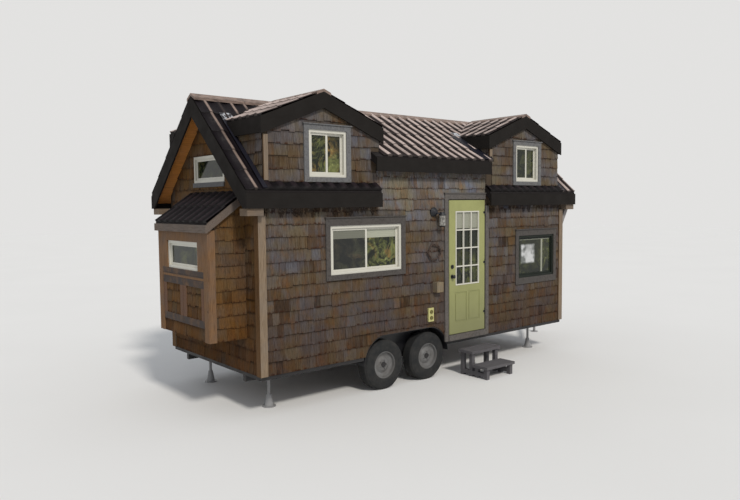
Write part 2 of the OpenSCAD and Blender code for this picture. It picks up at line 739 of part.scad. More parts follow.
// Folded caps on the long ridge and on the four dormer ridges
module cap_profile(slope)
    polygon([[-cap_w, -slope * cap_w], [0, 0], [cap_w, -slope * cap_w],
        [cap_w, cap_t - slope * cap_w], [0, cap_t], [-cap_w, cap_t - slope * cap_w]]);
module ridge_caps()
    color("#6a5350") on_house() {
        difference() {
            translate([-rake_reach, mid_w, ridge_h + seat]) rotate([90, 0, 90])
                linear_extrude(house_l + 2 * rake_reach) cap_profile(mid_slope);
            under_main(-rake_reach - cut, house_l + rake_reach + cut, -seat);
            for (i = [0, 1]) under_dormer(i, -dormer_left, dormer_right, 0, house_w, -seat);
        }
        both_sides() for (x = ridge_x) translate([x, mid_w - cap_w - 2, ridge_h + seat])
            rotate([90, 0, 0]) linear_extrude(mid_w + dormer_reach - cap_w - 2) cap_profile(dormer_slope);
    }

// Two boards that wrap one outer corner, standing in the corner's own frame
module corner_pair(z0, z1) {
    box(0, corner_w, -casing_t, 0, z0, z1);
    box(-casing_t, 0, -casing_t, corner_w, z0, z1);
}
bracket_z = low_eave_h - fascia_d - 85;
module corner_boards()
    color("#b39b78") on_house() both_sides() {
        both_ends() corner_pair(0, bracket_z);
        for (i = [0, 1]) {
            low = max(low_eave_h, main_h(0)) + 25;
            translate([left_cheek[i], 0, 0]) box(0, corner_w * 0.8, -casing_t + 10, 0,
                i == 0 ? low : mid_h(0) + 25, dormer_h(dormer_left + dormer_reach) - dormer_board_d);
        }
    }

module window_casings()
    color("#7b7470") on_house() {
        for (front = [true, false]) {
            at_long_windows(front) win_casing(long_win_w, long_win_h, 100, 70);
            at_dark_windows(front) win_casing(dark_win_w, dark_win_h, 95, 105);
            for (i = [0, 1]) at_dormer_window(i, front) win_casing(dormer_win, dormer_win, 62, dormer_foot);
        }
        on_left(mid_w, end_win_z) win_sill(end_win_w, 60);
        on_right(mid_w, end_win_z) win_sill(end_win_w, 60);
    }
// Foot board of a dormer window, down to the roof below it
dormer_foot = dormer_win_z - main_h(0) - 12;

module pale_window_frames()
    color("#e6e2d6") on_house() {
        for (front = [true, false]) {
            at_long_windows(front) win_frame(long_win_w, long_win_h);
            for (i = [0, 1]) at_dormer_window(i, front) win_frame(dormer_win, dormer_win);
        }
        on_left(mid_w, end_win_z) win_frame(end_win_w, end_win_h, 1);
        on_right(mid_w, end_win_z) win_frame(end_win_w, end_win_h, 1);
        at_bump_window() win_frame(bump_win_w, bump_win_h, 1);
    }
module dark_window_frames()
    color("#20282a") on_house()
        for (front = [true, false]) at_dark_windows(front) win_frame(dark_win_w, dark_win_h, 1);
module window_glass()
    color("#9fb4b0", 0.5) on_house() {
        for (front = [true, false]) {
            at_long_windows(front) win_glass(long_win_w, long_win_h);
            at_dark_windows(front) win_glass(dark_win_w, dark_win_h, 1);
            for (i = [0, 1]) at_dormer_window(i, front) win_glass(dormer_win, dormer_win);
        }
        on_left(mid_w, end_win_z) win_glass(end_win_w, end_win_h, 1);
        on_right(mid_w, end_win_z) win_glass(end_win_w, end_win_h, 1);
        at_bump_window() win_glass(bump_win_w, bump_win_h, 1);
    }

// Roof line of the bump-out at a distance out from the end wall
bump_slope = (bump_top_h - bump_eave_h) / (bump_d + bump_reach);
bump_drop = bump_roof_t * sqrt(1 + bump_slope * bump_slope);
function bump_h(d, drop = 0) = bump_top_h - drop - bump_slope * d;
// Profile extruded across the bump-out, drawn outward from the end wall
module bump_profile(y0, y1, points)
    translate([0, y0, 0]) rotate([90, 0, 180]) linear_extrude(y1 - y0) polygon(points);
module bump_out_walls()
    color("#8f6034") on_house() difference() {
        bump_profile(bump_y, bump_y + bump_w,
            [[0, bump_z], [bump_d, bump_z], [bump_d, bump_h(bump_d, bump_drop + seat)], [0, bump_h(0, bump_drop + seat)]]);
        box(-bump_d + bump_t, cut, bump_y + bump_t, bump_y + bump_w - bump_t, bump_z + bump_t, bump_top_h + cut);
        at_bump_window() win_hole(bump_win_w, bump_win_h, bump_t);
    }
module bump_out_roof()
    color("#5a4642") on_house()
        bump_profile(bump_y - bump_reach + fascia_t, bump_y + bump_w + bump_reach - fascia_t, [
            [0, bump_h(0)], [0, bump_h(0, bump_drop)],
            [bump_d + bump_reach - fascia_t, bump_h(bump_d + bump_reach - fascia_t, bump_drop)],
            [bump_d + bump_reach - fascia_t, bump_h(bump_d + bump_reach - fascia_t)]]);
module bump_out_boards()
    color("#8d7f77") on_house() {
        bump_edge = bump_d + bump_reach;
        box(-bump_edge, -bump_edge + fascia_t, bump_y - bump_reach, bump_y + bump_w + bump_reach,
            bump_eave_h - 95, bump_eave_h);
        for (y = [bump_y - bump_reach, bump_y + bump_w + bump_reach - fascia_t])
            bump_profile(y, y + fascia_t, [[0, bump_h(0)], [0, bump_h(0, bump_drop + 20)],
                [bump_edge - fascia_t, bump_h(bump_edge - fascia_t, bump_drop + 20)],
                [bump_edge - fascia_t, bump_h(bump_edge - fascia_t)]]);
        translate([-bump_d, 0, 0]) {
            panel_h = (bump_win_z - bump_board_w + 10 - bump_z) * panel_share;
            panel_z0 = bump_win_z - bump_board_w + 10 - panel_h;
            top_z = bump_win_z + bump_win_h;
            for (y = [bump_y - casing_t, bump_y + bump_w + casing_t - bump_board_w])
                box(-casing_t, 0, y, y + bump_board_w, bump_z, bump_h(bump_d, bump_drop + 25));
            inner0 = bump_y - casing_t + bump_board_w;
            inner1 = bump_y + bump_w + casing_t - bump_board_w;
            box(-casing_t, 0, inner0, inner1, bump_win_z - 60, bump_win_z);
            box(-casing_t, 0, inner0, inner1, top_z, bump_h(bump_d, bump_drop + 25));
            box(-casing_t, 0, inner0, bump_mid - bump_win_w / 2, bump_win_z, top_z);
            box(-casing_t, 0, bump_mid + bump_win_w / 2, inner1, bump_win_z, top_z);
            // Two framed panels side by side under the window
            for (s = [0, 1]) translate([0, inner0 + s * (inner1 - inner0) / 2, panel_z0])
                panel_frame((inner1 - inner0) / 2, panel_h);
        }
        for (y = [bump_y - casing_t, bump_y + bump_w])
            box(-bump_d, -bump_d + bump_board_w - 50, y, y + casing_t, bump_z, bump_h(bump_d, bump_drop + 25));
    }
// Frame of four boards on the outer face of the bump-out
module panel_frame(w, h)
    difference() {
        box(-casing_t + 6, 0, 4, w - 4, 0, h);
        box(-casing_t, cut, 90, w - 90, 90, h - 90);
    }

// Hinge line on the door's right edge, three hinges of three knuckles
hinge_x = door_x + door_w + 2;
hinge_y = door_face - 7;
hinge_zs = [230, door_h / 2 - 5, door_h - 240];
knuckle_h = 32;
knuckle_r = 6.7;
// Jambs, head, stop, casing, threshold and sill of the doorway
sill_reach = 45;
module door_frame()
    color("#7b7470") on_house() {
        for (x = [rough_x0, jamb_x1]) box(x, x + jamb_t, -6, wall_t, floor_t, rough_z - jamb_t);
        box(rough_x0, rough_x1, -6, wall_t, rough_z - jamb_t, rough_z);
        for (x = [jamb_x0, jamb_x1 - 12])
            box(x, x + 12, door_face + door_t + 3, door_face + door_t + 30, floor_t, rough_z - jamb_t - 12);
        box(jamb_x0, jamb_x1, door_face + door_t + 3, door_face + door_t + 30, rough_z - jamb_t - 12, rough_z - jamb_t);
        box(rough_x0 + 6 - door_casing_w, rough_x0 + 6, -casing_t, -6, 0, rough_z - 8);
        box(rough_x1 - 6, rough_x1 - 6 + door_casing_w, -casing_t, -6, 0, low_eave_h - fascia_d);
        box(rough_x0 + 6 - door_casing_w, rough_x1 - 6, -casing_t, -6, rough_z - 8, rough_z + 75);
        box(rough_x0 - 6 - door_casing_w, rough_x1 - 6, -casing_t - drip_t, -6, rough_z + 75, rough_z + 75 + drip_t);
        box(rough_x0 + 4, rough_x1, -sill_reach, 0, 0, floor_t - threshold_t);
        box(rough_x0, rough_x1, -sill_reach, wall_t, floor_t - threshold_t, floor_t);
    }
// Upper and lower knuckles of each hinge with their leaves on the frame
module frame_hinges()
    color("#1c1b1a") on_house() for (z = hinge_zs) for (k = [0, 2])
        translate([hinge_x, hinge_y, door_z + z + k * knuckle_h + seat]) {
            cylinder(r = knuckle_r, h = knuckle_h - 2 * seat);
            box(4, rough_x1 - 6 - hinge_x, -1, 3, 0, knuckle_h - 2 * seat);
        }

lite_w = door_w - 2 * lite_edge;
lite_top = door_h - 165;
module door_slab()
    color("#a9ae5c") on_house() translate([door_x, door_face, door_z]) difference() {
        cube([door_w, door_t, door_h]);
        box(lite_edge, lite_edge + lite_w, -cut, door_t + cut, lite_z, lite_top);
        // Recessed field round each raised panel
        for (i = [0, 1]) for (y = [0, door_t])
            translate([lite_edge - 15 + i * (lite_w + 30 + 40) / 2, y, 180]) difference() {
                box(0, (lite_w + 30 - 40) / 2, -6, 6, 0, lite_z - 180 - 110);
                box(22, (lite_w + 30 - 40) / 2 - 22, -8, 8, 22, lite_z - 180 - 110 - 22);
            }
    }
lite_cell_w = (lite_w - (lite_cols + 1) * lite_bar) / lite_cols;
lite_cell_h = (lite_top - lite_z - (lite_rows + 1) * lite_bar) / lite_rows;
// White frame and bars that hold the panes
module door_lites()
    color("#e4e4da") on_house() translate([door_x + lite_edge, door_face, door_z + lite_z]) {
        for (y = [[-6, door_t / 2 - glass_t / 2], [door_t / 2 + glass_t / 2, door_t + 6]]) difference() {
            box(0, lite_w, y[0], y[1], 0, lite_top - lite_z);
            for (i = [0 : lite_cols - 1]) for (j = [0 : lite_rows - 1])
                translate([lite_bar + i * (lite_cell_w + lite_bar), 0, lite_bar + j * (lite_cell_h + lite_bar)])
                    box(0, lite_cell_w, -far, far, 0, lite_cell_h);
        }
    }
module door_glass()
    color("#3d4a40", 0.6) on_house() translate([door_x + lite_edge, door_face, door_z + lite_z])
        box(0, lite_w, door_t / 2 - glass_t / 2, door_t / 2 + glass_t / 2, 0, lite_top - lite_z);
// Knob and dead bolt by the left edge, hinge knuckles by the right edge
module door_hardware()
    color("#1c1b1a") on_house() {
        translate([door_x + 62, door_face, door_z + knob_z]) rotate([90, 0, 0]) {
            cylinder(r = 32, h = 8);
            translate([0, 0, 8]) cylinder(r = 12, h = 24);
            translate([0, 0, 32]) cylinder(r1 = 20, r2 = 28, h = 14);
            translate([0, 0, 46]) cylinder(r1 = 28, r2 = 18, h = 14);
        }
        translate([door_x + 62, door_face, door_z + knob_z + 150]) rotate([90, 0, 0]) {
            cylinder(r = 30, h = 12);
            translate([0, 0, 12]) cylinder(r = 12, h = 12);
        }
        for (z = hinge_zs) translate([0, 0, door_z + z + knuckle_h]) {
            translate([hinge_x, hinge_y, 0]) cylinder(r = knuckle_r, h = knuckle_h);
            box(door_x + door_w - 30, hinge_x - 4, door_face - 3, door_face, 0, knuckle_h);
        }
    }

step_x = door_x + 155;
module step_treads()
    color("#7d7c80") on_ground() for (i = [0, 1])
        box(step_x, step_x + step_w, out_y0 + i * tread_d, out_y0 + (i + 1) * tread_d,
            step_rise * (i + 1) - tread_t, step_rise * (i + 1));
// Posts under the treads, tied along the ground by a rail on each side
post_inset = 25;
module step_frame()
    color("#8a857d") on_ground() for (x = [step_x + post_inset, step_x + step_w - post_inset - post_w]) {
        for (i = [0, 1]) for (y = [out_y0 + i * tread_d + post_inset, out_y0 + (i + 1) * tread_d - post_inset - post_w])
            box(x, x + post_w, y, y + post_w, 0, step_rise * (i + 1) - tread_t);
        box(x, x + post_w, out_y0 + post_inset, step_y0 - post_inset, 30, 30 + post_w);
    }

// Soffit returns at the four corners and a knee brace under each right one
brace_run = rake_reach - fascia_t - casing_t;
brace_fall = 330;
// Depth of a brace measured straight down
brace_d = 150;
module eave_brackets()
    color("#a58a66") on_house() both_sides() {
        both_ends() box(-rake_reach + fascia_t, 0, -slab_reach, 60, bracket_z, low_eave_h - fascia_d);
        translate([house_l + casing_t, 70, bracket_z]) rotate([90, 0, 0]) linear_extrude(70) polygon([
            [0, -brace_fall], [brace_run, 0],
            [brace_run * (1 - brace_d / brace_fall), 0], [0, brace_d - brace_fall]]);
    }

lantern_x = door_x - 225;
// Height of the jar's foot, depth of the jar and place of the head beside it
lantern_z = 1738;
lantern_y = -95;
head_x = -100;
head_r = 68;
module lantern()
    color("#1d2023") on_house() translate([lantern_x, 0, lantern_z]) {
        translate([head_x, 0, lantern_h - head_r]) rotate([90, 0, 0]) {
            cylinder(r = head_r, h = 30);
            translate([0, 0, 30]) cylinder(r1 = head_r, r2 = 30, h = 45);
        }
        box(head_x, 9, lantern_y, lantern_y + 30, lantern_h - head_r - 28, lantern_h - head_r - 8);
        translate([0, lantern_y, lantern_h - head_r - 50]) cylinder(r1 = 58, r2 = 30, h = 48);
        translate([0, lantern_y, 16]) cylinder(r = 48, h = lantern_h - head_r - 64);
        translate([0, lantern_y, 0]) cylinder(r1 = 34, r2 = 50, h = 18);
    }

wreath_x = door_x - 320;
wreath_z = 1365;
// Reach of the peg that carries the wreath
wall_peg = 40;
module wreath()
    color("#6b4a35") on_house() translate([wreath_x, 0, wreath_z]) rotate([90, 0, 0]) {
        translate([0, 0, wall_peg]) rotate_extrude($fn = 40) translate([wreath_r, 0]) circle(r = 14, $fn = 16);
        translate([0, wreath_r, 0]) cylinder(r = 5, h = wall_peg);
    }
// Depth of the planter with its back board
planter_d = 100;
module wall_planter()
    color("#b08a52") on_house() translate([door_x - 270, 0, 775]) difference() {
        box(-planter_w / 2, planter_w / 2, -planter_d, 0, 0, 150);
        box(-planter_w / 2 + 14, planter_w / 2 - 14, 14 - planter_d, -34, 14, 160);
    }
plate_h = 200;
plate_z = 348;
module socket_plate()
    color("#d7c64a") on_house() translate([axle_x + 20, 0, plate_z]) {
        box(-plate_w / 2, plate_w / 2, -34, 0, 0, plate_h);
        for (z = [0.28, 0.72] * plate_h)
            translate([0, -34, z]) rotate([90, 0, 0]) cylinder(r = 28, h = 14);
    }

chassis_rails();
cross_members();
tongue();
coupler();
tongue_jack();
axles();
leaf_springs();
fenders();
stands();
wheel_front_left();
wheel_front_right();
wheel_back_left();
wheel_back_right();
floor_deck();
front_wall_left();
front_wall_right();
front_wall_over_door();
back_wall();
left_end_wall();
right_end_wall();
front_dormer_left();
front_dormer_right();
back_dormer_left();
back_dormer_right();
main_roof_left();
main_roof_right();
middle_roof();
dormer_roof_left();
dormer_roof_right();
eave_boards();
rake_boards();
dormer_boards();
ridge_caps();
corner_boards();
window_casings();
pale_window_frames();
dark_window_frames();
window_glass();
bump_out_walls();
bump_out_roof();
bump_out_boards();
door_frame();
frame_hinges();
door_slab();
door_lites();
door_glass();
door_hardware();
step_treads();
step_frame();
eave_brackets();
lantern();
wreath();
wall_planter();
socket_plate();
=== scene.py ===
import math
import random

import bpy
from mathutils import Matrix, Vector


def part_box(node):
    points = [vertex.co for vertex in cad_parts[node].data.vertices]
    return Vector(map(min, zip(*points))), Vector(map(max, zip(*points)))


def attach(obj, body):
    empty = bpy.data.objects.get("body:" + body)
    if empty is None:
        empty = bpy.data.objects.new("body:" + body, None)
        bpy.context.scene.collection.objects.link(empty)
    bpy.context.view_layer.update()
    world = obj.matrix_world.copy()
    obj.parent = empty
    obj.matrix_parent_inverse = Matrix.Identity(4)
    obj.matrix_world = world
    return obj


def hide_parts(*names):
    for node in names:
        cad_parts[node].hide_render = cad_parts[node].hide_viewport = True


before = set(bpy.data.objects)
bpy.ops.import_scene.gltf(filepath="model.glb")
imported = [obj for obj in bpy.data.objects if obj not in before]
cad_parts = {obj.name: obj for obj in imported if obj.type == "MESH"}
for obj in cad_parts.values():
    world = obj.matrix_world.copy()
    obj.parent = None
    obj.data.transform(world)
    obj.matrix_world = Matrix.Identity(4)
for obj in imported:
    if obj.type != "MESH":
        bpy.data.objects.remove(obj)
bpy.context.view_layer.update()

# House frame: X along the house, Y inward from the door side, Z up from the wall's foot, in metres. CX, CY
# and WZ move it into the part's frame. Names in _S are slopes.
CX, CY, WZ = 3.345, 1.005, 0.520
L, W = 6.100, 2.500
MID = W / 2
# Heights of the ridge and the eaves, overhang at the long sides and at the ends
RIDGE, LOW_EAVE, MID_EAVE, REACH, RAKE = 3.500, 2.225, 2.705, 0.140, 0.240
MAIN_S = (RIDGE - LOW_EAVE) / (MID + REACH)
MID_S = (RIDGE - MID_EAVE) / (MID + REACH)
# Dormers: their ridges in X, the distance to each cheek, and the overhang of their roofs
DORMER_X = (0.950, 5.050)
DL, DR, DREACH = 0.875, 0.935, 0.050
DORMER_S = 0.370 / (DL + DREACH)
CASING_W, CORNER_W, BRACKET_Z = 0.072, 0.075, 1.955
# The low eaves lie left of LOW_X0 and right of LOW_X1, and dirt drips from the feet of the fascias
LOW_X0, LOW_X1, MID_X0 = 1.835, 4.070, 1.740
LOW_DRIP, MID_DRIP = 2.055, 2.530
LEFT_CHEEK = [x - DL for x in DORMER_X]
RIGHT_CHEEK = [x + DR for x in DORMER_X]
# Bump-out: depth, near side, width, underside, and the overhang of its roof
BUMP_D, BUMP_Y, BUMP_W, BUMP_Z, BUMP_REACH = 0.495, 0.330, 1.380, 0.434, 0.065
BUMP_YS = (BUMP_Y - BUMP_REACH, BUMP_Y + BUMP_W + BUMP_REACH)
BUMP_TOP, BUMP_EAVE = 2.250, 1.850
BUMP_S = (BUMP_TOP - BUMP_EAVE) / (BUMP_D + BUMP_REACH)
# Its front: window sill, board under it, the panels' share of the rest, and the width of their rails
BUMP_SILL, BUMP_BOARD, PANEL_SHARE, PANEL_RAIL = 1.281, 0.110, 0.78, 0.090
BUMP_RAILS = ((0.596, 0.686), (1.082, 1.172), (1.206, 1.282))
CASING_T = 0.028
# Windows of the dormers, which are square, and of the gables
DORMER_WIN, DORMER_SILL = 0.595, 2.427
END_WIN_W, END_WIN_H, END_SILL = 0.865, 0.354, 2.385
# What the shingles leave free at the door: x0, x1, z0, z1
DOOR_HOLE = (3.151, 4.139, -0.1, 2.239)
# Where the shingles end at the top: below the low and middle eaves, in the gables and on the dormers
LOW_TOP, MID_TOP, GABLE_TOP, DORMER_TOP = 2.075, 2.560, 3.370, 3.450
# Radius of the wheels' rims, and the edges of the lantern's jar
RIM_R = 0.190
JAR_X, JAR_Z0, JAR_Z1 = 2.970, 1.758, 1.902


def main_h(y):
    return RIDGE - MAIN_S * abs(y - MID)


def mid_h(y):
    return RIDGE - MID_S * abs(y - MID)


def dormer_h(dx):
    return RIDGE - DORMER_S * abs(dx)


def house(x, y, z):
    return Vector((x - CX, y - CY, z + WZ))


# Mesh helpers

def add_object(name, data):
    ob = bpy.data.objects.new(name, data)
    bpy.context.scene.collection.objects.link(ob)
    return ob


def mesh_object(name, verts, faces, mats, body="house", attrs=None, points=None, smooth=False):
    me = bpy.data.meshes.new(name)
    me.from_pydata([tuple(v) for v in verts], [], faces)
    ob = add_object(name, me)
    for m in mats:
        me.materials.append(m)
    for domain, table in (("FACE", attrs or {}), ("POINT", points or {})):
        for key, values in table.items():
            me.attributes.new(key, "FLOAT", domain).data.foreach_set("value", values)
    if smooth:
        me.polygons.foreach_set("use_smooth", [True] * len(me.polygons))
    me.update()
    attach(ob, body)
    return ob


class Soup:
    """Collects solids as raw faces. tone is random for each piece, kind is 1 on its sides and 0 on its face,
    rise runs from 0 at the lower edge of a piece to 1 at the next course."""

    def __init__(self):
        self.v, self.f, self.tone, self.kind, self.rise = [], [], [], [], []

    def prism(self, ring0, ring1, tone, rise=None):
        n, b = len(ring0), len(self.v)
        self.v += list(ring0) + list(ring1)
        self.f += [tuple(b + i for i in range(n))[::-1], tuple(b + n + i for i in range(n))]
        self.f += [(b + i, b + (i + 1) % n, b + n + (i + 1) % n, b + n + i) for i in range(n)]
        self.tone += [tone] * (n + 2)
        self.kind += [1.0, 0.0] + [1.0] * n
        self.rise += list(rise or [0.5] * n) * 2

    def box(self, x0, x1, y0, y1, z0, z1, tone=0.5):
        """A box between two corners in the house frame."""
        ring = [(x0, y0), (x1, y0), (x1, y1), (x0, y1)]
        self.prism([house(x, y, z0) for x, y in ring], [house(x, y, z1) for x, y in ring], tone)

    def build(self, name, mats, body="house"):
        faces = {"tone": self.tone, "kind": self.kind}
        return mesh_object(name, self.v, self.f, mats, body, faces, {"rise": self.rise})


# Node helpers

class Nodes:
    """A small builder for procedural materials."""

    def __init__(self, name):
        self.mat = bpy.data.materials.new(name)
        self.mat.use_nodes = True
        self.t = self.mat.node_tree
        self.bsdf = self.t.nodes["Principled BSDF"]
        self.coord = self.t.nodes.new("ShaderNodeTexCoord").outputs["Object"]

    def put(self, kind, **props):
        n = self.t.nodes.new(kind)
        for k, val in props.items():
            setattr(n, k, val)
        return n

    def link(self, a, b):
        self.t.links.new(a, b)

    def feed(self, socket, value):
        if hasattr(value, "links"):
            self.link(value, socket)
        else:
            socket.default_value = value

    def scaled(self, sx, sy, sz):
        m = self.put("ShaderNodeMapping")
        m.inputs["Scale"].default_value = (sx, sy, sz)
        self.link(self.coord, m.inputs["Vector"])
        return m.outputs["Vector"]

    def noise(self, scale, detail=4.0, rough=0.55, vec=None, dist=0.0):
        n = self.put("ShaderNodeTexNoise")
        n.inputs["Scale"].default_value = scale
        n.inputs["Detail"].default_value = detail
        n.inputs["Roughness"].default_value = rough
        n.inputs["Distortion"].default_value = dist
        self.link(vec if vec is not None else self.coord, n.inputs["Vector"])
        return n.outputs["Fac"]

    def attr(self, name):
        n = self.put("ShaderNodeAttribute")
        n.attribute_name = name
        return n.outputs["Fac"]

    def ramp(self, fac, stops):
        n = self.put("ShaderNodeValToRGB")
        el = n.color_ramp.elements
        while len(el) < len(stops):
            el.new(0.5)
        for e, (p, c) in zip(el, stops):
            e.position = p
            e.color = (*c, 1.0)
        self.link(fac, n.inputs["Fac"])
        return n.outputs["Color"]

    def mix(self, fac, a, b, mode="MIX"):
        n = self.put("ShaderNodeMix", data_type="RGBA", blend_type=mode)
        self.feed(n.inputs[0], fac)
        for i, val in ((6, a), (7, b)):
            if isinstance(val, tuple):
                n.inputs[i].default_value = (*val, 1.0)
            else:
                self.link(val, n.inputs[i])
        return n.outputs[2]

    def math(self, op, a, b=0.0, clamp=False):
        n = self.put("ShaderNodeMath", operation=op, use_clamp=clamp)
        self.feed(n.inputs[0], a)
        self.feed(n.inputs[1], b)
        return n.outputs[0]

    def mul(self, a, b, clamp=False):
        return self.math("MULTIPLY", a, b, clamp)

    def add(self, a, b, clamp=False):
        return self.math("ADD", a, b, clamp)

    def span(self, value, lo, hi, out_lo=0.0, out_hi=1.0):
        n = self.put("ShaderNodeMapRange")
        self.link(value, n.inputs["Value"])
        for k, x in (("From Min", lo), ("From Max", hi), ("To Min", out_lo), ("To Max", out_hi)):
            n.inputs[k].default_value = x
        return n.outputs["Result"]

    def axis(self, i):
        n = self.put("ShaderNodeSeparateXYZ")
        self.link(self.coord, n.inputs[0])
        return n.outputs[i]

    def at(self, i):
        """X, Y or Z in the house frame."""
        return self.add(self.axis(i), (CX, CY, -WZ)[i])

    def normal(self, i):
        """X, Y or Z of the surface normal."""
        n = self.put("ShaderNodeSeparateXYZ")
        self.link(self.put("ShaderNodeNewGeometry").outputs["Normal"], n.inputs[0])
        return n.outputs[i]

    def bump(self, height, strength=0.3, distance=0.01):
        n = self.put("ShaderNodeBump")
        n.inputs["Strength"].default_value = strength
        n.inputs["Distance"].default_value = distance
        self.link(height, n.inputs["Height"])
        self.link(n.outputs["Normal"], self.bsdf.inputs["Normal"])

    def done(self, color, rough, spec):
        self.feed(self.bsdf.inputs["Base Color"], color)
        self.feed(self.bsdf.inputs["Roughness"], rough)
        self.bsdf.inputs["Specular IOR Level"].default_value = spec
        return self.mat


def times(color, k):
    """A colour k times as bright."""
    return tuple(min(1.0, c * k) for c in color)


def smooth_band(n, value, a, b, c, d):
    """1 between b and c, falling to 0 at a and d."""
    return n.mul(n.span(value, a, b), n.span(value, c, d, 1.0, 0.0))


def shingle_material(name, ramp, grey, warm, silver, stains=True, foot=True):
    """Split cedar: a tone for each shingle, grooves down the grain, silvered streaks, brown blots, red-brown
    spots at the butts, dirt and painted shade under the course above, drips of dirt below the fascias of the
    long sides, painted shade of plants at the foot of the wall and painted shade on the sides of each
    shingle."""
    n = Nodes(name)
    rise, kind = n.attr("rise"), n.attr("kind")
    grain = n.noise(1.0, 3.0, 0.65, n.scaled(135.0, 135.0, 4.0))
    fine = n.noise(1.0, 2.0, 0.5, n.scaled(430.0, 430.0, 22.0))
    streak = n.noise(1.0, 4.0, 0.6, n.scaled(30.0, 30.0, 1.8))
    patch = n.noise(1.15, 3.0, 0.55)
    blot = n.noise(1.0, 4.0, 0.6, n.scaled(10.0, 10.0, 4.0))
    spot = n.noise(1.0, 3.0, 0.6, n.scaled(26.0, 26.0, 9.0))
    base = n.ramp(n.attr("tone"), ramp)
    base = n.mix(n.span(patch, 0.42, 0.62, 0.0, grey), base, silver)
    base = n.mix(n.span(streak, 0.48, 0.70, 0.0, 0.50), base, times(silver, 1.3))
    base = n.mix(n.span(blot, 0.52, 0.70, 0.0, warm), base, (0.150, 0.072, 0.028))
    tint = n.noise(2.7, 3.0, 0.55, None, 0.3)
    cast = n.ramp(tint, [(0.38, (0.90, 0.98, 1.20)), (0.50, (1.0, 1.0, 1.0)), (0.62, (1.06, 1.0, 0.78))])
    base = n.mix(1.0, base, cast, "MULTIPLY")
    grooves = n.ramp(grain, [(0.30, (0.34, 0.31, 0.29)), (0.45, (0.82, 0.80, 0.78)),
                             (0.72, (1.22, 1.20, 1.18))])
    base = n.mix(0.8, base, grooves, "MULTIPLY")
    base = n.mix(n.span(fine, 0.45, 0.72, 0.0, 0.35), base, (0.026, 0.018, 0.014))
    # Dirt and painted shade just under the butts of the course above, patchy with the blots.
    grime_and_shade = n.mul(n.span(rise, 0.80, 1.0), n.span(blot, 0.38, 0.60, 0.18, 0.65))
    base = n.mix(grime_and_shade, base, (0.016, 0.011, 0.009))
    butts = n.mul(n.span(rise, 0.05, 0.20, 1.0, 0.0), n.span(spot, 0.50, 0.60, 0.05, 0.85))
    base = n.mix(butts, base, (0.038, 0.014, 0.007))
    z = n.at(2)
    if stains:
        silvered = n.span(z, 1.70, 2.30, 0.0, 0.9)
        base = n.mix(silvered, base, n.mix(1.0, base, (1.70, 1.92, 2.15), "MULTIPLY"))
        x = n.at(0)
        left = n.span(x, LOW_X0 + 0.01, LOW_X0 + 0.02, 1.0, 0.0)
        ends = n.add(left, n.span(x, LOW_X1 - 0.02, LOW_X1 - 0.01))
        drip = n.noise(1.0, 3.0, 0.6, n.scaled(20.0, 20.0, 1.0))
        reach = n.span(drip, 0.35, 0.65, 0.015, 0.14)

        def dripping(foot_z):
            """1 where dirt has run down below a fascia that ends at foot_z."""
            below = n.math("SUBTRACT", foot_z, z)
            return n.mul(n.math("LESS_THAN", below, reach), n.math("GREATER_THAN", below, -0.02))

        drips = n.add(n.mul(dripping(LOW_DRIP), ends), n.mul(dripping(MID_DRIP), 0.45))
        band = n.mul(drips, n.span(n.noise(60.0, 2.0), 0.35, 0.6, 0.4, 1.0))
        base = n.mix(n.mul(band, 0.85, True), base, (0.014, 0.008, 0.006))
    if foot:
        # Painted shade of plants: the wall darkens in patches towards its foot.
        plant_shade = n.mul(n.span(z, 1.25, 0.20), n.span(patch, 0.35, 0.6, 0.60, 0.90))
        base = n.mix(plant_shade, base, n.mix(1.0, base, (0.66, 0.54, 0.46), "MULTIPLY"))
    # Painted shade: the sides of each shingle, in the joints and under the butts, go near black.
    base = n.mix(n.mul(kind, 0.9), base, (0.010, 0.006, 0.005))
    n.bump(n.add(n.mul(grain, 0.9), n.mul(fine, 0.45)), 0.8, 0.005)
    return n.done(base, 0.92, spec=0.06)


# Scale of the grain along X, Y and Z, for boards that run along one axis or both ways in the long walls
GRAIN = {"x": (5.0, 120.0, 120.0), "y": (120.0, 5.0, 120.0), "z": (120.0, 120.0, 5.0),
         "xz": (30.0, 120.0, 30.0)}


def wood(n, base, dark, along, grey, scale=1.0, knot=0.75):
    """Colour and grain of a sawn board with knots, split grain and weathering."""
    grain = n.noise(1.0, 5.0, 0.62, n.scaled(*[k * scale for k in GRAIN[along]]), 0.8)
    blot = n.noise(3.4, 4.0, 0.6)
    knots = n.put("ShaderNodeTexVoronoi")
    knots.inputs["Scale"].default_value = 3.3
    n.link(n.coord, knots.inputs["Vector"])
    col = n.ramp(grain, [(0.28, dark), (0.52, base), (0.85, times(base, 1.25))])
    col = n.mix(n.span(blot, 0.4, 0.72, 0.0, grey), col, tuple(sum(base) / 3 * k for k in (0.85, 0.83, 0.84)))
    col = n.mix(n.span(knots.outputs["Distance"], 0.03, 0.09, knot, 0.0), col, times(dark, 0.3))
    return col, grain


def board_material(name, base, dark, along="z", grey=0.35, rough=0.75, scale=1.0, knot=0.75):
    n = Nodes(name)
    col, grain = wood(n, base, dark, along, grey, scale, knot)
    n.bump(grain, 0.4, 0.003)
    return n.done(col, rough, spec=0.25)


def casing_material(name):
    """Window casings: dark weathered boards below, paler silvered ones on the dormers and gables."""
    n = Nodes(name)
    low, grain = wood(n, (0.074, 0.066, 0.060), (0.036, 0.030, 0.026), "xz", 0.5, knot=0.3)
    high = n.mix(1.0, low, (1.85, 2.05, 2.25), "MULTIPLY")
    n.bump(grain, 0.4, 0.003)
    return n.done(n.mix(n.span(n.at(2), 2.05, 2.15), low, high), 0.85, spec=0.25)


